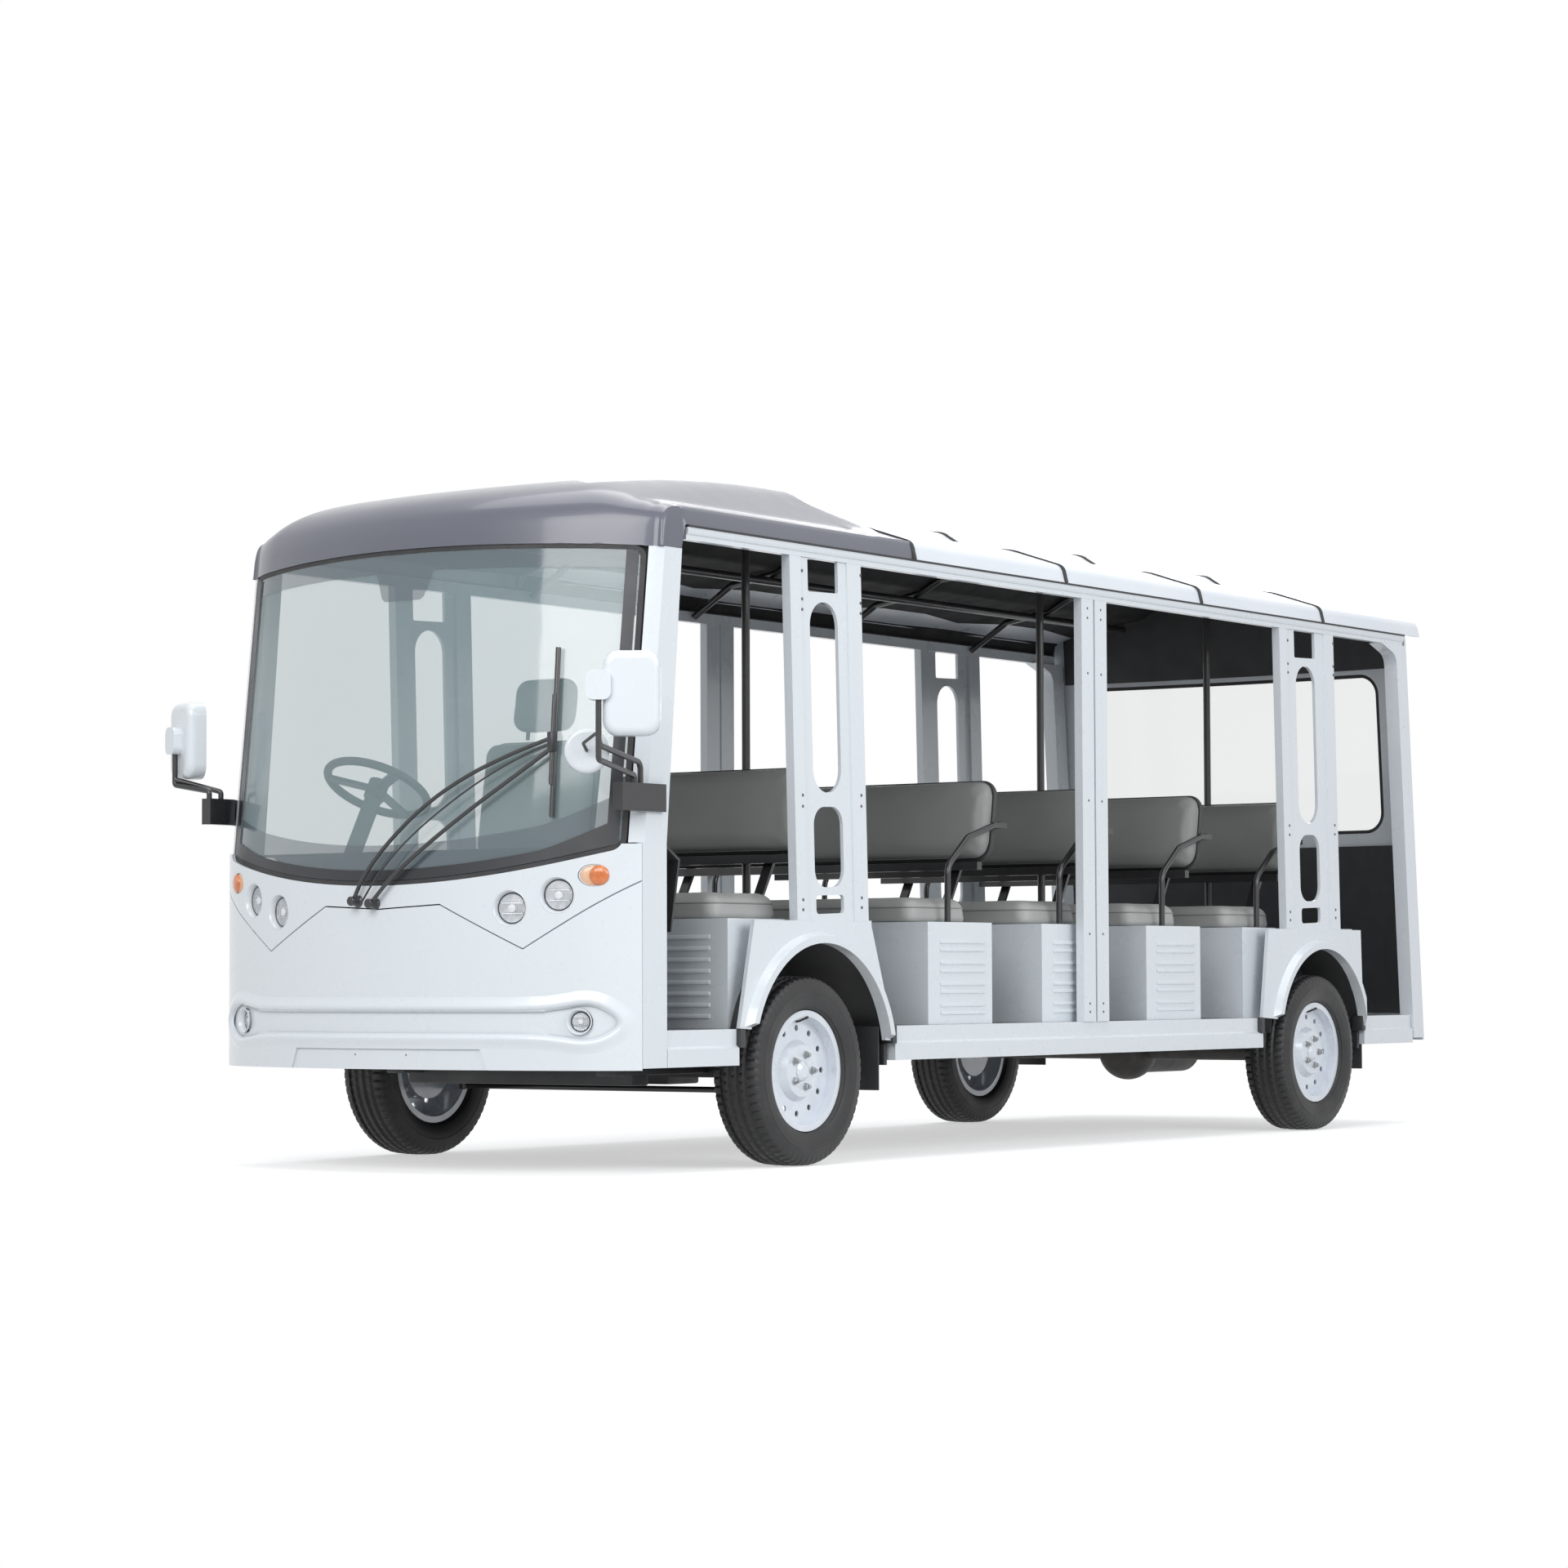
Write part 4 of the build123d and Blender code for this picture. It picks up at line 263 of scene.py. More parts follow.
# The rear window is clearer than the screen
tree = MATS["glass_tint"].node_tree
split = tree.nodes.new("ShaderNodeSeparateXYZ")
tree.links.new(tree.nodes.new("ShaderNodeTexCoord").outputs["Object"], split.inputs[0])
ramp = map_range(tree, split.outputs["Y"], -0.5, 0.5, 0.36, 0.10)
tree.links.new(ramp.outputs["Result"], tree.nodes["Principled BSDF"].inputs["Alpha"])

SLOT_OF = {row["node"]: row["material_slot"] for row in frame["record"]["subparts"]}
for node_name, node in nodes.items():
    node.data.materials.clear()
    node.data.materials.append(MATS[SLOT_OF[node_name]])


# Mesh helpers: points are in millimetres, in the solids' frame
def place_at(point, normal, across=(1, 0, 0)):
    """Matrix whose z axis is the normal and whose x axis is as close as possible to across."""
    z = Vector(normal).normalized()
    x = Vector(across) - z * Vector(across).dot(z)
    x.normalize()
    y = z.cross(x)
    matrix = Matrix((x, y, z)).transposed().to_4x4()
    matrix.translation = Vector(point)
    return matrix


def strip(bm, rows, wrap=False, close_rows=False):
    """Quads between rows of points of the same number."""
    made = [[bm.verts.new(Vector(p)) for p in row] for row in rows]
    count = len(made[0])
    last = len(made) if close_rows else len(made) - 1
    for i in range(last):
        first, second = made[i], made[(i + 1) % len(made)]
        for j in range(count if wrap else count - 1):
            k = (j + 1) % count
            bm.faces.new((first[j], first[k], second[k], second[j]))
    return made


def lathe(bm, matrix, profile, steps, squeeze=1.0, cap=False):
    """Surface of revolution about the matrix's z axis from rows of radius and height."""
    rows = []
    for r, h in profile:
        rows.append([
            matrix @ Vector((r * math.cos(a), r * math.sin(a) * squeeze, h))
            for a in (2 * math.pi * i / steps for i in range(steps))
        ])
    made = strip(bm, rows, wrap=True)
    if cap:
        bm.faces.new(made[-1])
        bm.faces.new(list(reversed(made[0])))
    return made


def tube(bm, points, r, sides, closed=False):
    """Round bar along points, with its ends closed."""
    path = [Vector(p) for p in points]
    count = len(path)
    rows = []
    side_dir = None
    for i, p in enumerate(path):
        before = path[i - 1] if i or closed else p
        after = path[(i + 1) % count] if i < count - 1 or closed else p
        along = (after - before).normalized()
        if side_dir is None:
            side_dir = along.orthogonal().normalized()
        side_dir = (side_dir - along * side_dir.dot(along)).normalized()
        up = along.cross(side_dir)
        rows.append([
            p + side_dir * (r * math.cos(a)) + up * (r * math.sin(a))
            for a in (2 * math.pi * k / sides for k in range(sides))
        ])
    made = strip(bm, rows, wrap=True, close_rows=closed)
    if not closed:
        bm.faces.new(list(reversed(made[0])))
        bm.faces.new(made[-1])


def smooth_path(points, rounds):
    """Corner cutting of a polyline; its ends stay."""
    path = [Vector(p) for p in points]
    for _ in range(rounds):
        cut = [path[0]]
        for a, b in zip(path, path[1:]):
            cut += [a.lerp(b, 0.25), a.lerp(b, 0.75)]
        path = cut + [path[-1]]
    return path


def round_edges(part, edges, offset, segments):
    bmesh.ops.bevel(part, geom=edges, offset=offset, segments=segments, affect="EDGES", profile=0.5)


def bevelled_box(bm, low, high, bevel):
    """Box with rounded edges."""
    low, high = Vector(low), Vector(high)
    size = high - low
    part = bmesh.new()
    bmesh.ops.create_cube(part, size=1.0)
    for v in part.verts:
        v.co = Vector((v.co.x * size.x, v.co.y * size.y, v.co.z * size.z)) + (low + high) / 2
    round_edges(part, part.edges[:], bevel, 2)
    absorb(bm, part)


def absorb(bm, part, matrix=None):
    """Adds another mesh's faces."""
    data = bpy.data.meshes.new("scratch")
    part.to_mesh(data)
    part.free()
    if matrix is not None:
        data.transform(matrix)
    bm.from_mesh(data)
    bpy.data.meshes.remove(data)


def rivet(bm, point, normal, r):
    """Low round head."""
    high = 2.2
    matrix = place_at(point, normal, (0.3, 0.2, 1.0))
    lathe(bm, matrix, [(r, -0.6), (r, 0.3), (r * 0.8, high * 0.75), (r * 0.4, high)], 12, cap=True)


def finish_piece(bm, name, mat, body="bus_body", sharp=38.0, weld=0.0):
    """Turns the gathered faces into a piece that rides on a body."""
    if weld:
        bmesh.ops.remove_doubles(bm, verts=bm.verts[:], dist=weld)
    bmesh.ops.recalc_face_normals(bm, faces=bm.faces[:])
    limit = math.radians(sharp)
    for face in bm.faces:
        face.smooth = True
    for edge in bm.edges:
        edge.smooth = not (len(edge.link_faces) == 2 and edge.calc_face_angle(0.0) > limit)
    for v in bm.verts:
        v.co *= MM
    data = bpy.data.meshes.new(name)
    bm.to_mesh(data)
    bm.free()
    piece = bpy.data.objects.new(name, data)
    scene.collection.objects.link(piece)
    data.materials.append(mat)
    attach(piece, body)
    return piece


# Surfaces of the body
def bow_y(x):
    """Plan curve of the nose, with its turned corner."""
    x = abs(x)
    if x <= BOW_X:
        return NOSE_Y + BOW_R - math.sqrt(BOW_R**2 - x**2)
    start = Vector((BOW_X, bow_y(BOW_X)))
    end = Vector((CORNER[0], start.y + CORNER[1]))
    turn = math.asin(BOW_X / BOW_R)
    inward = Vector((-math.sin(turn), math.cos(turn)))
    r = (end - start).length_squared / (2 * inward.dot(end - start))
    centre = start + inward * r
    return centre.y - math.sqrt(max(0.0, r**2 - (x - centre.x) ** 2))


def nose_normal(x):
    """Level direction out of the nose."""
    slope = (bow_y(x + 1) - bow_y(x - 1)) / 2
    return Vector((slope, -1.0, 0.0)).normalized()


def nose_point(x, z, out):
    """Point on the nose or the leaning screen; out is the distance in front of the skin."""
    lean = max(0.0, z - LEAN_Z) * SCREEN_LEAN
    return Vector((x, bow_y(x) + lean, z)) + nose_normal(x) * out


def tail_y(x, z, deep):
    """Face of the rear wall; deep is the distance in from its outer face."""
    return TAIL_Y - (z - REAR_LOW_Z) * REAR_LEAN - 60 * (x / BODY_HALF) ** 2 - deep


# Wheels: tyre sections are rows of distance from the tyre's middle plane and radius
TYRE_STEPS = 264
CUT_EVERY = 4
TYRE_WALL = (
    (51, 180.3), (57, 180.0), (63.7, 180.3), (63.8, 188), (63.9, 195.5), (67, 197.5), (72, 199),
    (75.5, 202), (77.2, 205.5), (79.6, 207), (81.8, 205.9), (84.6, 211), (88.2, 221), (91.2, 233),
    (92.5, 243), (92.3, 250), (93.2, 252.5), (93.2, 255), (91.6, 257), (90.4, 266), (88.6, 276),
    (86.6, 283), (85.6, 288), (83.0, 293.5), (79.0, 298),
)
TYRE_INSIDE = (
    (-53, 204), (-70, 226), (-77, 250), (-70, 284), (-30, 292), (30, 292), (70, 284), (77, 250),
    (70, 226), (53, 204),
)
CROWN_HALF = (75, 72, 66, 60, 54, 51.5, 51, 44, 43.5, 36, 26, 19.5, 19, 12, 11.5, 6)
CROWN = CROWN_HALF + (0,) + tuple(-x for x in reversed(CROWN_HALF))
TREAD_GROOVES = (47.5, 15.5)


def tread_r(x, i):
    """Radius of the tread x from its middle, with the grooves and with the cuts of step i."""
    wide = abs(x)
    phase = i % CUT_EVERY
    r = AXLE_Z - 3 * (x / 70) ** 2 - 2.2 * max(0.0, wide - 66) / 9
    if any(abs(wide - g) <= 4.2 for g in TREAD_GROOVES):
        return r - 7.5
    if wide > 52 and phase == 0:
        return r - 5.0
    if 20 < wide < 43 and phase == 2:
        return r - 3.2
    if wide <= 11.5 and phase == 1 and (i // CUT_EVERY) % 2:
        return r - 2.4
    return r


def tyre_mesh():
    """Tyre about the origin with its axle along x, and cuts in its shoulders."""
    bm = bmesh.new()
    rows = []
    for i in range(TYRE_STEPS):
        a = 2 * math.pi * i / TYRE_STEPS
        ring = list(TYRE_WALL) + [(x, tread_r(x, i)) for x in CROWN]
        ring += [(-x, r) for x, r in reversed(TYRE_WALL)] + list(TYRE_INSIDE)
        row = []
        for x, r in ring:
            if 283 <= r <= 299 and abs(x) > 78 and i % CUT_EVERY == 0:
                r -= 2.0
                x *= 0.985
            row.append(Vector((x, r * math.sin(a), r * math.cos(a))))
        rows.append(row)
    strip(bm, rows, wrap=True, close_rows=True)
    return bm


def wheel_piece(bm, name, x, y, side, mat, body, sharp=38.0):
    """A piece drawn about the axle, set at one wheel; the right side's is turned round."""
    turn = Matrix.Rotation(0.0 if side > 0 else math.pi, 4, "Z")
    bmesh.ops.transform(bm, matrix=Matrix.Translation((x, y, AXLE_Z)) @ turn, verts=bm.verts[:])
    return finish_piece(bm, name, mat, body, sharp)


for name, x, y, side in WHEELS:
    body = f"{name}_wheel"
    tyre = wheel_piece(tyre_mesh(), f"{name}_tyre_tread", x, y, side, MATS["tyre"], body,
                       sharp=30)
    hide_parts(f"{name}_tyre")
    bm = bmesh.new()
    out = Vector((1, 0, 0))
    for i in range(5):
        a = 2 * math.pi * (i + 0.25) / 5
        spot = Vector((55, 54 * math.sin(a), 54 * math.cos(a)))
        at = place_at(spot, out, (0, math.cos(a), -math.sin(a)))
        lathe(bm, at, [(13, -0.3), (13, 1.5), (11.5, 3)], 20, cap=True)
        lathe(bm, at, [(10.5, 2.6), (10.5, 12), (9.0, 14)], 6, cap=True)
        lathe(bm, at, [(6, 13.5), (6, 21), (5, 22)], 14, cap=True)
    wheel_piece(bm, f"{name}_wheel_nuts", x, y, side, ZINC, body)
    bm = bmesh.new()
    at = place_at((0, 0, 0), out)
    lathe(bm, at,
          [(31.5, 57.9), (31.5, 60), (29, 66), (25.5, 68.5), (21, 69), (20.5, 84), (18.5, 89),
           (12, 91),
           (0.01, 91.5)], 36)
    for i in range(6):
        a = math.pi * i / 3
        lathe(bm, place_at((66.5, 26 * math.sin(a), 26 * math.cos(a)), out),
              [(3.2, 0), (3.2, 4.5), (2.6, 5)], 6,
              cap=True)
    wheel_piece(bm, f"{name}_hub_cap", x, y, side, CHROME, body)
    bm = bmesh.new()
    valve = [(30, 0, 158), (44, 0, 160), (60, 0, 166), (70, 0, 170)]
    tube(bm, valve, 3.4, 10)
    tube(bm, [valve[-1], (78, 0, 173)], 4.4, 10)
    lathe(bm, at, [(168, 20.0), (170, 21.4), (173.6, 21.6)], 8)
    wheel_piece(bm, f"{name}_valve", x, y, side, MATS["rubber"], body)

# Lamps on the nose
HEADLAMPS = ((629, 861, 57), (479, 822, 57))
FOG_LAMP = (696, 474, 40)
TURN_LAMP = (739, 920, 50, 34)
LAMPS = [(side * x, z, r) for side in (1, -1) for x, z, r in HEADLAMPS + (FOG_LAMP,)]
bezel, bowl, lens, bulb, painted_shade_ring = (bmesh.new() for _ in range(5))
for x, z, r in LAMPS:
    at = place_at(nose_point(x, z, -1), nose_normal(x), (1, 0, 0))
    cup = r - 9
    lathe(bezel, at,
          [(r, -3), (r, 0.6), (r - 1.6, 1.1), (r - 3.5, -0.5), (r - 7, -11), (cup, -18),
           (cup, -20)], 56)
    # A dark rubber ring at the foot of the cup is painted shade, where the cup's wall shades the
    # lamp
    lathe(painted_shade_ring, at, [(cup, -17.8), (cup - 1.5, -16.6), (cup - 3.4, -17.0), (cup - 3.8, -20)], 56)
    lathe(bowl, at, [(cup - 3.6, -18.2), (cup * 0.7, -19.8), (cup * 0.4, -20.6), (0.01, -20.8)], 56)
    lathe(lens, at,
          [(cup - 3.6, -17.4), (cup * 0.76, -13.6), (cup * 0.5, -10.8), (cup * 0.24, -9.2),
           (0.01, -8.8)], 56)
    lathe(bulb, at, [(cup * 0.26, -20), (cup * 0.26, -15.5), (cup * 0.2, -13.8), (0.01, -13.2)], 24)
    for up in (-0.34, 0.34):
        wide = cup * 0.72
        strip(bowl, [[at @ Vector((wide * k, cup * (up + t), -19.0 + 3.4 * (1 - (t / 0.1) ** 2)))
                      for k in (-1, -0.5, 0, 0.5, 1)] for t in (-0.1, -0.05, 0, 0.05, 0.1)])
headlamp_lenses = finish_piece(lens, "headlamp_lenses", MATS["lamp_clear"])
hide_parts("headlamps")
finish_piece(bezel, "headlamp_bezels", MATS["body_white"])
finish_piece(bowl, "headlamp_reflectors", REFLECTOR)
# Painted shade ring in the headlamp cups
finish_piece(painted_shade_ring, "headlamp_painted_shade_rings", MATS["rubber"])
finish_piece(bulb, "headlamp_bulbs", PEARL)

turn_lens, turn_base, turn_rim = (bmesh.new() for _ in range(3))
for side in (1, -1):
    x, z, wide, high = TURN_LAMP
    at = place_at(nose_point(side * x, z, -1), nose_normal(side * x), (1, 0, 0))
    squeeze = high / wide
    lathe(turn_rim, at,
          [(wide, -20), (wide, -1), (wide - 1.5, 0.8), (wide - 4, 1.2), (wide - 5, -2)], 56,
          squeeze)
    lathe(turn_base, at, [(wide - 4.6, -1.5), (wide * 0.8, 1.4), (wide * 0.5, 3.2), (0.01, 4)], 56,
          squeeze)
    inner = at @ Matrix.Translation((side * 15, 0, 0))
    lathe(turn_lens, inner, [(31, 0), (30.6, 4.5), (27, 8.5), (18, 11.5), (9, 12.8), (0.01, 13)],
          48)
turn_piece = finish_piece(turn_lens, "turn_lamp_lenses", MATS["lamp_orange"])
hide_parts("turn_lamps")
finish_piece(turn_base, "turn_lamp_bases", AMBER_PALE)
finish_piece(turn_rim, "turn_lamp_rims", MATS["body_white"])


# Soft raised edge round the bumper groove and its two eyes
GROOVE = ((0, 506), (300, 506), (560, 506), (640, 514), (716, 530), (772, 512), (812, 470),
          (772, 432), (716, 415),
          (640, 426), (560, 435), (300, 435), (0, 435))
half = [Vector((x, z)) for x, z in GROOVE]
loop = half + [Vector((-p.x, p.y)) for p in reversed(half[1:-1])]
for _ in range(3):
    loop = [q for a, b in zip(loop, loop[1:] + loop[:1])
            for q in (a.lerp(b, 0.25), a.lerp(b, 0.75))]
ridge = bmesh.new()
rows = []
for i, spot in enumerate(loop):
    along = (loop[(i + 1) % len(loop)] - loop[i - 1]).normalized()
    outward = Vector((-along.y, along.x))
    rows.append([nose_point(spot.x + outward.x * d, spot.y + outward.y * d, h)
                 for d,
                 h in ((-3, -6), (1, 0.5), (5, 5.5), (11, 8.5), (18, 7.5), (27, 3.8), (38, 0.9),
                       (46, -0.4))])
strip(ridge, rows, close_rows=True)
finish_piece(ridge, "bumper_groove_edge", MATS["body_white"], sharp=80)


# Windscreen: a dark band round the edge, a tinted band at the top with a tab, and painted shade at
# the bottom
SCREEN_HALF = 800
EDGE_X = 796
BAND_W = 32
SHADE_DEEP = 58
TAB_HALF = 118


def edge_z(x, side_z, mid_z):
    """Height at x of the arc through the middle and the ends of a screen edge."""
    rise = side_z - mid_z
    r = (SCREEN_HALF**2 + rise**2) / (2 * rise)
    return mid_z + r - math.copysign(math.sqrt(r**2 - x**2), r)


def screen_low(x):
    return edge_z(x, 1016, 912)


def screen_top(x):
    return edge_z(x, 1926, 1950)


def even_xs(half, count=48):
    """Even places from -half to half."""
    return [half * i / count for i in range(-count, count + 1)]


def screen_sheet(bm, xs, low, top, out=-4.4, rows=4):
    """Thin sheet on the glass between two heights given for each x."""
    heights = [(x, low(x), top(x)) for x in xs]
    strip(bm, [[nose_point(x, z0 + (z1 - z0) * i / rows, out) for i in range(rows + 1)]
               for x, z0, z1 in heights])


def low_band(x):
    """Upper edge of the dark band along the bottom, which grows toward the corners."""
    corner = max(0.0, (x - 560) / 236)
    return screen_low(x) + 34 + 46 * corner**1.3 + 16 * max(0.0, (-x - 600) / 196)


band = bmesh.new()
screen_sheet(band, even_xs(EDGE_X), lambda x: screen_low(x) + 1, low_band, out=0.6)
for side in (1, -1):
    edge = [side * (EDGE_X - BAND_W + BAND_W * i / 4) for i in range(5)]
    screen_sheet(band, edge, low_band, lambda x: screen_top(x) - 2, out=0.6, rows=24)
finish_piece(band, "screen_edge_band", FRIT)
tint_and_painted_shade = bmesh.new()
inner_xs = even_xs(EDGE_X - BAND_W)
screen_sheet(tint_and_painted_shade, inner_xs, lambda x: screen_top(x) - SHADE_DEEP, lambda x: screen_top(x) - 1)
# Painted shade: a dark sheet above the bottom band that stands in for the shaded dashboard behind
# the glass
screen_sheet(tint_and_painted_shade, inner_xs, low_band, lambda x: low_band(x) + 78)
screen_sheet(tint_and_painted_shade, even_xs(TAB_HALF, 8),
             lambda x: screen_top(x) - SHADE_DEEP - 92 * min(1.0, (TAB_HALF - abs(x)) / 34),
             lambda x: screen_top(x) - SHADE_DEEP - 0.5)
finish_piece(tint_and_painted_shade, "screen_tint_and_painted_shade_bands", TINT_AND_PAINTED_SHADE)

# Front roof cap: one smooth skin over the screen, the dome, the shoulders and the elbows on the
# pillars. CAP_PATH and CAP_TAIL are distances behind the front axle, with heights up to the crest;
# the other rows are distances from the middle plane and heights.
CAP_PATH = ((-981, 1925), (-977, 1975), (-970, 2030), (-948, 2084), (-890, 2132), (-770, 2168),
            (-560, 2204), (-300, 2240), (-60, 2264), (130, 2280), (280, 2288), (400, 2290))
CAP_TAIL = (440, 480, 520, 560, 612)
CREST_END, CREST_Z = CAP_PATH[-1]
SHOULDERS = ((0, 2557), (742, 2104), (800, 2086), (851, 2072), (900, 2058))
ROOF_ROWS = ((0, 2262), (338, 2228), (428, 2170), (640, 2143), (851, 2074), (900, 2058))
CAP_SCREEN_X = 806
CAP_GROOVE_X = 800
PILLAR_REAR = -662
PILLAR_TOP_Z = 1938.6
RAIL_TOP_Z = 2014.4
cap_rear = max(v.co.y for v in nodes["roof_front_cap"].data.vertices) / MM


def between(rows, x):
    """Height at x on the straight lines between rows."""
    for (x0, z0), (x1, z1) in zip(rows, rows[1:]):
        if x0 <= x <= x1:
            return z0 + (z1 - z0) * (x - x0) / (x1 - x0)
    return rows[-1][1]


def soft_min(a, b, k):
    """The smaller of two numbers, rounded off where they are less than k apart."""
    h = min(1.0, max(0.0, 0.5 + 0.5 * (b - a) / k))
    return b + (a - b) * h - k * h * (1 - h)


def cap_column(x, inner):
    """Points of the cap's skin over one x, from the lower edge at the front to the rear edge."""
    wide = abs(x)
    low = screen_top(wide) + 14.5 if wide <= CAP_SCREEN_X else PILLAR_TOP_Z
    shift = bow_y(min(wide, CORNER[0])) - bow_y(0)
    path = [(q.x, q.y) for q in smooth_path([(y, z, 0) for y, z in CAP_PATH], 3)]
    points = []
    for behind, z in path + [(y, 0) for y in CAP_TAIL]:
        fade = min(1.0, max(0.0, (200 - behind) / 1150))
        y = row_y(behind) + shift * fade * fade * (3 - 2 * fade)
        runout = min(1.0, max(0.0, (560 - behind) / 200))
        groove = 7 * math.exp(-((wide - CAP_GROOVE_X) / 7) ** 2) * runout
        if behind > CREST_END:
            past = behind - CREST_END
            y = row_y(CREST_END) + (cap_rear - row_y(CREST_END)) * past / (CAP_TAIL[-1] - CREST_END)
            z = CREST_Z - 0.40 * max(0.0, past + 0.1 * wide)
        z = soft_min(z, between(SHOULDERS, wide) - groove, 80)
        if behind > CREST_END:
            z = -soft_min(-z, -between(ROOF_ROWS, wide), 8)
        points.append(Vector((x, y + inner, max(z - inner, low))))
    return points


def cap_skin(inner):
    """The cap's skin from rail to rail; above 0, inner moves it inward for the lining."""
    bm = bmesh.new()
    columns = [CAP_SCREEN_X * i / 36 for i in range(37)] + [811, 818, 828, 838, 846, 851]
    half = [cap_column(x, inner) for x in columns]
    outermost = half[-1]
    for drop, rail_x, pillar_x in ((14, 856, 855), (34, 861, 858), (400, 865, 859)):
        wall = []
        for q in outermost:
            x, low = (pillar_x, PILLAR_TOP_Z) if q.y < row_y(PILLAR_REAR) else (rail_x, RAIL_TOP_Z)
            wall.append(Vector((x, q.y, max(q.z - drop, low))))
        half.append(wall)
    rows = [[Vector((-q.x, q.y, q.z)) for q in row] for row in reversed(half[1:])] + half
    if inner:
        rows = [[Vector((q.x * 0.985, q.y, q.z)) for q in row] for row in rows[3:-3]]
    strip(bm, rows)
    return bm


cap_mesh = cap_skin(0)
for side in (1, -1):
    x0, x1 = sorted((side * 815, side * 857))
    bevelled_box(cap_mesh, (x0, row_y(-742), PILLAR_TOP_Z + 0.2), (x1, row_y(-664), 2020), 3)
cap_piece = finish_piece(cap_mesh, "roof_cap_shell", MATS["cap_grey"], sharp=60,
                         weld=0.05)
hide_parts("roof_front_cap")
finish_piece(cap_skin(12), "roof_cap_lining", LINING, sharp=60, weld=0.05)

# Wiper: two arms and a hose from the pivots to an upright blade with its carrier
WIPER_ARMS = (
    (((-86, 852), (-47, 927), (32, 1021), (163, 1138), (307, 1228), (464, 1298), (592, 1345)), 6.5),
    (((-13, 842), (71, 927), (202, 1028), (333, 1124), (464, 1216), (592, 1312)), 6.5),
    (((-50, 846), (14, 936), (118, 1040), (250, 1140), (390, 1232), (530, 1306), (592, 1328)), 3.0),
)
wiper = bmesh.new()
for points, r in WIPER_ARMS:
    tube(wiper, smooth_path([nose_point(x, z, 24) for x, z in points], 2), r, 12)
for x, z in ((-86, 850), (-13, 842)):
    at = place_at(nose_point(x, z, -1), nose_normal(x))
    lathe(wiper, at, [(19, 0), (19, 6), (15, 9), (13, 27), (15, 30), (15, 38), (12, 41)], 28,
          cap=True)
carrier = [nose_point(x, z, 22) for x,
           z in ((596, 1200), (594, 1265), (592, 1330), (590, 1400), (588, 1480))]
tube(wiper, smooth_path(carrier, 1), 7, 10)
blade = [nose_point(x, z, 12) for x,
         z in ((603, 1100), (600, 1220), (594, 1340), (590, 1480), (586, 1625))]
tube(wiper, smooth_path(blade, 2), 8.5, 10)
tube(wiper, smooth_path([p + Vector((0, 8, 0)) for p in blade], 2), 3.5, 8)
bevelled_box(wiper, nose_point(592, 1300, 36) - Vector((14, 0, 0)),
             nose_point(592, 1362, 12) + Vector((14, 0, 0)), 4)
wiper_piece = finish_piece(wiper, "wiper_arms", MATS["black_paint"])
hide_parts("wiper")

# Roof lining, with a shallow bar at every third row
LINING_ROWS = ((846, 2012), (834, 2058), (812, 2076), (640, 2124), (440, 2151), (404, 2160),
               (340, 2205), (300, 2213),
               (150, 2238), (0, 2244))
full = list(LINING_ROWS) + [(-x, z) for x, z in reversed(LINING_ROWS[:-1])]
roof = bmesh.new()
ends = []
for t in range(13):
    share = t / 12
    ends.append([
        (x, LINING_FRONT + (tail_y(x, z, 18) - LINING_FRONT) * share, z - 3 - (0 if t % 3 else 2))
        for x, z in full
    ])
strip(roof, ends)
finish_piece(roof, "roof_lining", LINING)

# Black panels on the inside of the rear wall, under the window and from it up to the lining
UNDER_WINDOW = (452, 620, 800, 980, 1148)
OVER_WINDOW_Z = 1882
panel = bmesh.new()
panel_xs = even_xs(790, 16)
for deep in (24, 27):
    strip(panel, [[(x, tail_y(x, z, deep), z) for z in UNDER_WINDOW] for x in panel_xs])
for deep in (24, 27):
    rows = []
    for x in panel_xs:
        high = between(LINING_ROWS[::-1], abs(x)) - 8 - OVER_WINDOW_Z
        rows.append([(x, tail_y(x, OVER_WINDOW_Z + high * t, deep), OVER_WINDOW_Z + high * t)
                     for t in (0, 0.35, 0.7, 1)])
    strip(panel, rows)
finish_piece(panel, "luggage_panel", MATS["black_plastic"])

# Ribs of the seat boxes
RIB_H = 13
ribs = bmesh.new()
for back in ROW_BACKS[1:4]:
    y0 = row_y(back - 360)
    for i in range(4):
        for z in (478 + 72 * i, 505 + 72 * i):
            for side in (1, -1):
                x0, x1 = sorted((side * 798, side * 804.5))
                bevelled_box(ribs, (x0, y0, z), (x1, y0 + 280, z + RIB_H), 2.2)
for i in range(8):
    z = 478 + 36 * i
    bevelled_box(ribs, (-730, row_y(-355), z), (730, row_y(-348), z + RIB_H), 2.2)
finish_piece(ribs, "seat_box_ribs", MATS["body_white"])

# Black brackets at the ends of the sills, mud flaps, and dark boxes under the floor that are partly
# chassis members and partly painted shade
brackets_and_painted_shade = bmesh.new()
for side in (1, -1):
    x0, x1 = sorted((side * 816, side * 866))
    for y0 in (row_y(-370), row_y(484), REAR_AXLE_Y - 458, REAR_AXLE_Y + 388):
        bevelled_box(brackets_and_painted_shade, (x0, y0, 386), (x1, y0 + 28, 446), 3)
    x0, x1 = sorted((side * 660, side * 838))
    for y0 in (row_y(440), REAR_AXLE_Y + 430):
        bevelled_box(brackets_and_painted_shade, (x0, y0, 232), (x1, y0 + 6, 444), 2)
# Boxes under the floor: chassis members that also paint the shade of the underside
for low, high, bevel in (
    ((-478, row_y(-520), 296), (-402, row_y(470), 330), 4),
    ((402, row_y(-520), 296), (478, row_y(470), 330), 4),
    ((-470, row_y(-420), 262), (470, row_y(-330), 344), 6),
    ((-300, row_y(150), 250), (180, row_y(330), 344), 8),
):
    bevelled_box(brackets_and_painted_shade, low, high, bevel)
finish_piece(brackets_and_painted_shade, "sill_brackets_and_underbody_shade", MATS["black_plastic"])

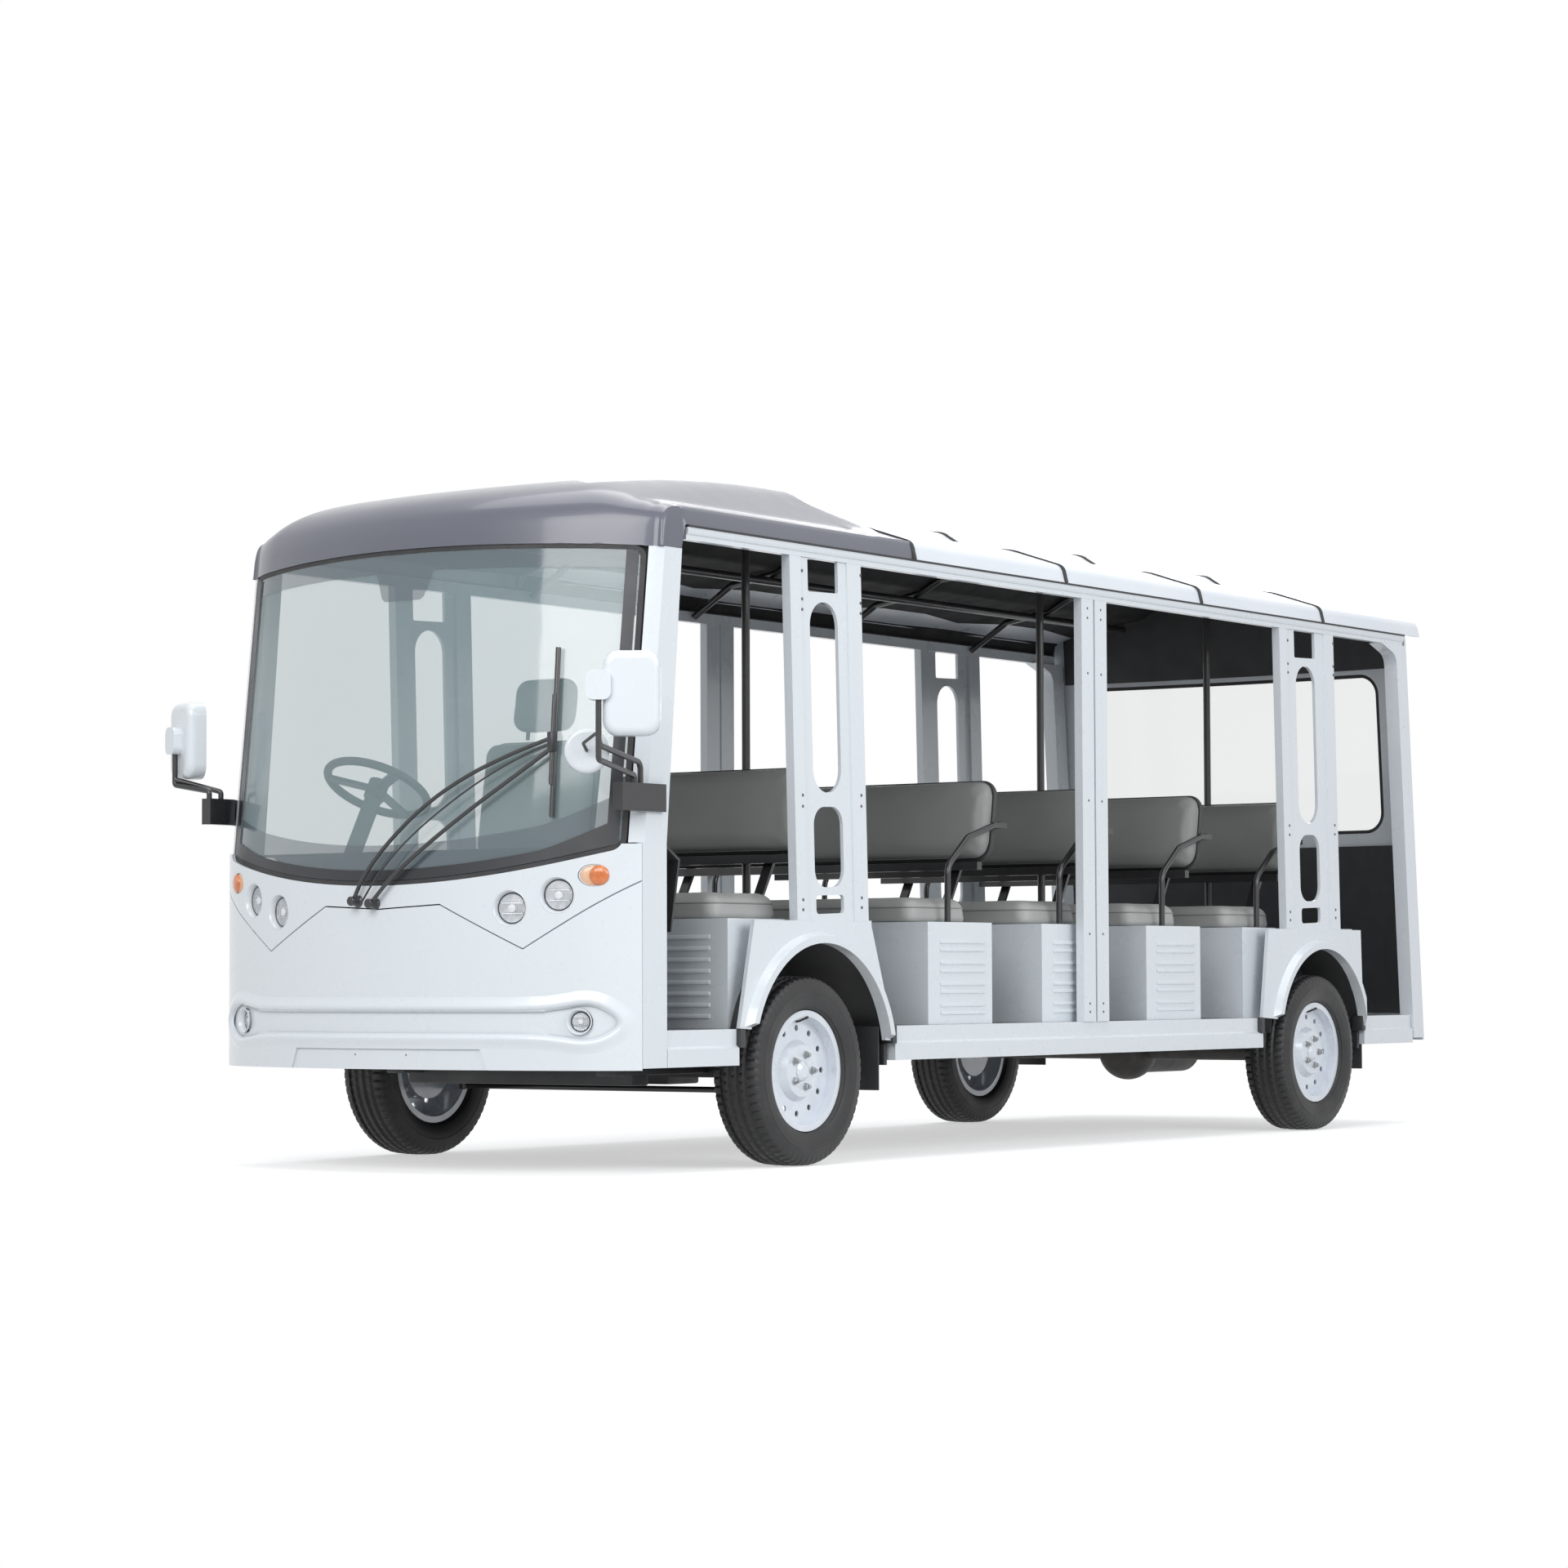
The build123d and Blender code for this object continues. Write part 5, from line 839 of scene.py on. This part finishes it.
# Rivets of the post panels, given by foot and width, and of the middle posts
POST_TILT = math.radians(1.9)
POST_PANELS = ((-45, 406), (3262, 452))
PANEL_RIVETS = (34, 66, 368, 404, 1006, 1040, 1132)
MIDDLE_POSTS = (1772, 1865)
MIDDLE_RIVETS = (480, 510, 760, 1240, 1700, 1900, 1935)
RIVET_X = 856
rivets = bmesh.new()
for foot, width in POST_PANELS:
    for u in (31, width - 40):
        for v in PANEL_RIVETS:
            for side in (1, -1):
                spot = (side * RIVET_X, row_y(foot) + u * math.cos(POST_TILT),
                        790 + v + u * math.sin(POST_TILT))
                rivet(rivets, spot, (side, 0, 0), 5.5)
for behind in MIDDLE_POSTS:
    for z in MIDDLE_RIVETS:
        for side in (1, -1):
            rivet(rivets, (side * RIVET_X, row_y(behind), z), (side, 0, 0), 4.5)
finish_piece(rivets, "post_rivets", RIVET)


# Soft cushions and backrests
CLOTH_FRAMES = 14


def pad_shape(width, deep, high, corner_r, edge_r):
    """Closed pad with rounded plan corners and edges, its underside at z = 0."""
    part = bmesh.new()
    bmesh.ops.create_cube(part, size=1.0)
    for v in part.verts:
        v.co = Vector((v.co.x * width, v.co.y * deep, (v.co.z + 0.5) * high))
    upright = [e for e in part.edges if abs((e.verts[0].co - e.verts[1].co).normalized().z) > 0.9]
    round_edges(part, upright, corner_r, 8)
    top = [e for e in part.edges if all(v.co.z > high - 1 for v in e.verts)
           and len(e.link_faces) == 2
           and any(f.normal.z < 0.5 for f in e.link_faces)]
    round_edges(part, top, edge_r, 5)
    low = [e for e in part.edges if all(v.co.z < 1 for v in e.verts)
           and any(f.normal.z > -0.5 for f in e.link_faces)]
    round_edges(part, low, 8.0, 2)
    return part


def evaluated_mesh(piece):
    """New mesh of a piece with its modifiers applied."""
    depsgraph = bpy.context.evaluated_depsgraph_get()
    return bpy.data.meshes.new_from_object(piece.evaluated_get(depsgraph))


def inflate(part, voxel, limit, pressure, hold):
    """Voxel mesh of a pad, blown up by a cloth simulation; hold says which points stay."""
    for v in part.verts:
        v.co *= MM
    data = bpy.data.meshes.new("pad")
    part.to_mesh(data)
    part.free()
    pad = bpy.data.objects.new("pad", data)
    scene.collection.objects.link(pad)
    remesh = pad.modifiers.new("remesh", "REMESH")
    remesh.mode = "VOXEL"
    remesh.voxel_size = voxel * MM
    bpy.context.view_layer.update()
    solid = evaluated_mesh(pad)
    pad.modifiers.clear()
    pad.data = solid
    rest = [v.co.copy() for v in solid.vertices]
    group = pad.vertex_groups.new(name="held")
    group.add([i for i, p in enumerate(rest) if hold(p / MM)], 1.0, "REPLACE")
    cloth = pad.modifiers.new("cloth", "CLOTH")
    cloth.settings.quality = 4
    cloth.settings.mass = 0.4
    cloth.settings.tension_stiffness = 20
    cloth.settings.compression_stiffness = 20
    cloth.settings.bending_stiffness = 3
    cloth.settings.use_pressure = True
    cloth.settings.uniform_pressure_force = pressure
    cloth.settings.vertex_group_mass = "held"
    cloth.settings.effector_weights.gravity = 0.0
    cloth.point_cache.frame_start = 1
    cloth.point_cache.frame_end = CLOTH_FRAMES
    for number in range(1, CLOTH_FRAMES + 1):
        scene.frame_set(number)
    moved = evaluated_mesh(pad)
    for i, v in enumerate(moved.vertices):
        step = v.co - rest[i]
        if step.length > limit * MM:
            v.co = rest[i] + step.normalized() * (limit * MM)
    pad.modifiers.clear()
    pad.data = moved
    scene.frame_set(1)
    bm = bmesh.new()
    bm.from_mesh(pad.data)
    for _ in range(4):
        bmesh.ops.smooth_vert(bm, verts=bm.verts[:], factor=0.5, use_axis_x=True, use_axis_y=True,
                              use_axis_z=True)
    for v in bm.verts:
        v.co /= MM
    bpy.data.objects.remove(pad)
    return bm


def piping(bm, surface, width, deep, height, corner_r):
    """Sewn welt round a pad at one height, laid on its skin."""
    tree = BVHTree.FromBMesh(surface)
    corners = [Vector((cx * (width / 2 - corner_r), cy * (deep / 2 - corner_r), height))
               for cx, cy in ((1, 1), (-1, 1), (-1, -1), (1, -1))]
    path = []

    def lay(centre, degrees):
        a = math.radians(degrees)
        outward = Vector((math.cos(a), math.sin(a), 0))
        hit = tree.ray_cast(centre + outward * (corner_r + 60), -outward)[0]
        path.append((hit if hit else centre + outward * corner_r) + outward * 0.4)

    for i, corner in enumerate(corners):
        for k in range(7):
            lay(corner, 90 * i + 15 * k)
        for k in range(1, 12):
            lay(corner.lerp(corners[(i + 1) % 4], k / 12), 90 * (i + 1))
    tube(bm, path, 2.6, 8, closed=True)


DRIVER_X = -400
CUSHION_D = 386
CUSHION_T = 82
BACK_LOW_Z = 1023
BACK_T = 74
BACK_LEAN = math.radians(9)
SHELL_T = 20
HEADREST_LOW_Z = 1470
PAD_R = 56
VOXEL = 11
PRESSURE = 5.0
# Row, both ends along x and height of the backrest
SEATS = ((0, DRIVER_X - 245, DRIVER_X + 245, 420), (0, -60, 742, 290)) + tuple(
    (row, -742, 742, 290) for row in range(1, 5)
)


def glued(p):
    """The underside of a pad, which stays flat."""
    return p.z < 7


pads, backs = {}, {}
cushions, cushion_welts, back_pads, back_welts, back_shells = (bmesh.new() for _ in range(5))
for row, x0, x1, back_h in SEATS:
    width = x1 - x0
    middle = (x0 + x1) / 2
    if width not in pads:
        skin = inflate(pad_shape(width - 10, CUSHION_D - 10, CUSHION_T - 6, PAD_R, 30),
                       VOXEL, 9, PRESSURE, glued)
        welt = bmesh.new()
        piping(welt, skin, width - 8, CUSHION_D - 8, 50, PAD_R)
        pads[width] = (skin, welt)
        front = inflate(pad_shape(width - 8, back_h - 8, BACK_T - SHELL_T - 4, PAD_R, 26),
                        VOXEL, 7, PRESSURE, glued)
        edge = bmesh.new()
        piping(edge, front, width - 6, back_h - 6, 12, PAD_R)
        shell = pad_shape(width, back_h, SHELL_T, 60, 8)
        backs[width] = (front, edge, shell)
    seat_at = Matrix.Translation((middle, row_y(ROW_BACKS[row]) - 443 + CUSHION_D / 2, SEAT_Z))
    toward = Vector((0, -math.cos(BACK_LEAN), math.sin(BACK_LEAN)))
    back_at = place_at(Vector((middle, row_y(ROW_BACKS[row]), BACK_LOW_Z)) - toward * BACK_T,
                       toward)
    back_at = back_at @ Matrix.Translation((0, back_h / 2, 0))
    for target, source, matrix in (
        (cushions, pads[width][0], seat_at), (cushion_welts, pads[width][1], seat_at),
        (back_pads, backs[width][0], back_at @ Matrix.Translation((0, 0, SHELL_T))),
        (back_welts, backs[width][1], back_at @ Matrix.Translation((0, 0, SHELL_T))),
        (back_shells, backs[width][2], back_at),
    ):
        absorb(target, source.copy(), matrix)
head = inflate(pad_shape(256, 186, 54, 50, 24), 8, 5, 4.0, lambda p: p.z < 5)
head_at = place_at(Vector((DRIVER_X, row_y(100), BACK_LOW_Z)) - toward * 60, toward)
absorb(back_pads, head, head_at @ Matrix.Translation((0, HEADREST_LOW_Z - BACK_LOW_Z + 95, 0)))
cushion_piece = finish_piece(cushions, "seat_cushion_pads", MATS["grey_vinyl"],
                             sharp=80)
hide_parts("seat_cushions")
finish_piece(cushion_welts, "seat_cushion_welts", MATS["grey_shell"])
back_piece = finish_piece(back_pads, "seat_back_pads", MATS["grey_shell"],
                          sharp=80)
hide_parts("seat_backrests")
finish_piece(back_welts, "seat_back_welts", MATS["grey_shell"])
finish_piece(back_shells, "seat_back_shells", MATS["black_plastic"])

# Studio
def background_rays(tree):
    """1 for rays that show the backdrop: straight to the camera, mirrored or through glass."""
    path = tree.nodes.new("ShaderNodeLightPath")
    either = path.outputs["Is Camera Ray"]
    for kind in ("Is Glossy Ray", "Is Transmission Ray"):
        node = tree.nodes.new("ShaderNodeMath")
        node.operation = "MAXIMUM"
        tree.links.new(either, node.inputs[0])
        tree.links.new(path.outputs[kind], node.inputs[1])
        either = node.outputs[0]
    return either


def combined(tree, kind, *sockets):
    """Output of a shader node whose inputs are linked in order."""
    node = tree.nodes.new(kind)
    for socket, value in zip(node.inputs, sockets):
        tree.links.new(value, socket)
    return node.outputs[0]


def plain(tree, kind, color, strength=None):
    """Output of a shader node of one colour."""
    node = tree.nodes.new(kind)
    node.inputs["Color"].default_value = (*color, 1)
    if strength is not None:
        node.inputs["Strength"].default_value = strength
    return node.outputs[0]


floor_mesh = bmesh.new()
lathe(floor_mesh, Matrix.Identity(4), [(0.01, 0), (2500, 0), (5000, 0), (9000, 0), (14000, 0)], 64)
for v in floor_mesh.verts:
    v.co *= MM
data = bpy.data.meshes.new("studio_floor")
floor_mesh.to_mesh(data)
floor_mesh.free()
floor = bpy.data.objects.new("studio_floor", data)
scene.collection.objects.link(floor)
floor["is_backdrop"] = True

# Pale floor that fades out with distance from the bus
mat = bpy.data.materials.new("studio_floor_pale")
mat.use_nodes = True
tree = mat.node_tree
tree.nodes.clear()
diffuse = plain(tree, "ShaderNodeBsdfDiffuse", (0.62, 0.62, 0.62))
lift = plain(tree, "ShaderNodeEmission", (1, 1, 1), 0.55)
bright = combined(tree, "ShaderNodeAddShader", diffuse, lift)
pale = combined(tree, "ShaderNodeMixShader", background_rays(tree), diffuse, bright)
far = tree.nodes.new("ShaderNodeVectorMath")
far.operation = "LENGTH"
tree.links.new(tree.nodes.new("ShaderNodeTexCoord").outputs["Object"], far.inputs[0])
fade = map_range(tree, far.outputs["Value"], 3.2, 8.0)
fade.interpolation_type = "SMOOTHSTEP"
clear = tree.nodes.new("ShaderNodeBsdfTransparent").outputs[0]
surface = combined(tree, "ShaderNodeMixShader", fade.outputs["Result"], pale, clear)
output = tree.nodes.new("ShaderNodeOutputMaterial")
tree.links.new(surface, output.inputs["Surface"])
floor.data.materials.append(mat)

world = bpy.data.worlds.new("studio_world")
scene.world = world
world.use_nodes = True
tree = world.node_tree
tree.nodes.clear()
soft = plain(tree, "ShaderNodeBackground", (0.93, 0.96, 1.0), 0.42)
white = plain(tree, "ShaderNodeBackground", (1, 1, 1), 1.0)
backdrop = combined(tree, "ShaderNodeMixShader", background_rays(tree), soft, white)
output = tree.nodes.new("ShaderNodeOutputWorld")
tree.links.new(backdrop, output.inputs["Surface"])


def softbox(name, place, aim, size, power, tone=(1, 1, 1)):
    """Area lamp that looks at a point; lengths in metres."""
    lamp = bpy.data.lights.new(name, "AREA")
    lamp.shape = "RECTANGLE"
    lamp.size, lamp.size_y = size
    lamp.energy = power
    lamp.color = tone
    holder = bpy.data.objects.new(name, lamp)
    holder.location = place
    holder.rotation_euler = (Vector(aim) - Vector(place)).to_track_quat("-Z", "Y").to_euler()
    scene.collection.objects.link(holder)


softbox("key_front", (2.0, -9.0, 5.0), (0, -1.5, 1.0), (6, 4), 390)
softbox("side_left", (8.5, -1.5, 4.2), (0, 0.2, 0.9), (7, 3.5), 330, (0.96, 0.98, 1.0))
softbox("top_wide", (0, 0, 8.0), (0, 0, 0), (7, 9), 380)
softbox("rear_fill", (-4.0, 8.0, 4.0), (0, 1, 1), (6, 4), 180)

camera_data = bpy.data.cameras.new("camera")
camera = bpy.data.objects.new("camera", camera_data)
scene.collection.objects.link(camera)
scene.camera = camera
camera_data.sensor_width = 36
camera_data.lens = 4786.34 * 36 / 1920
camera_data.clip_end = 200
turn, pitch, roll = (math.radians(a) for a in (35.4738, 2.8475, -0.1975))
forward = Vector((-math.sin(turn) * math.cos(pitch), math.cos(turn) * math.cos(pitch),
                  math.sin(pitch)))
level = Vector((math.cos(turn), math.sin(turn), 0.0))
upward = level.cross(forward)
right = level * math.cos(roll) + upward * math.sin(roll)
above = upward * math.cos(roll) - level * math.sin(roll)
matrix = Matrix((right, above, -forward)).transposed().to_4x4()
matrix.translation = Vector((8.1244, -11.9663, 0.6038))
camera.matrix_world = matrix

scene.view_settings.view_transform = "Standard"

low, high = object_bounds()
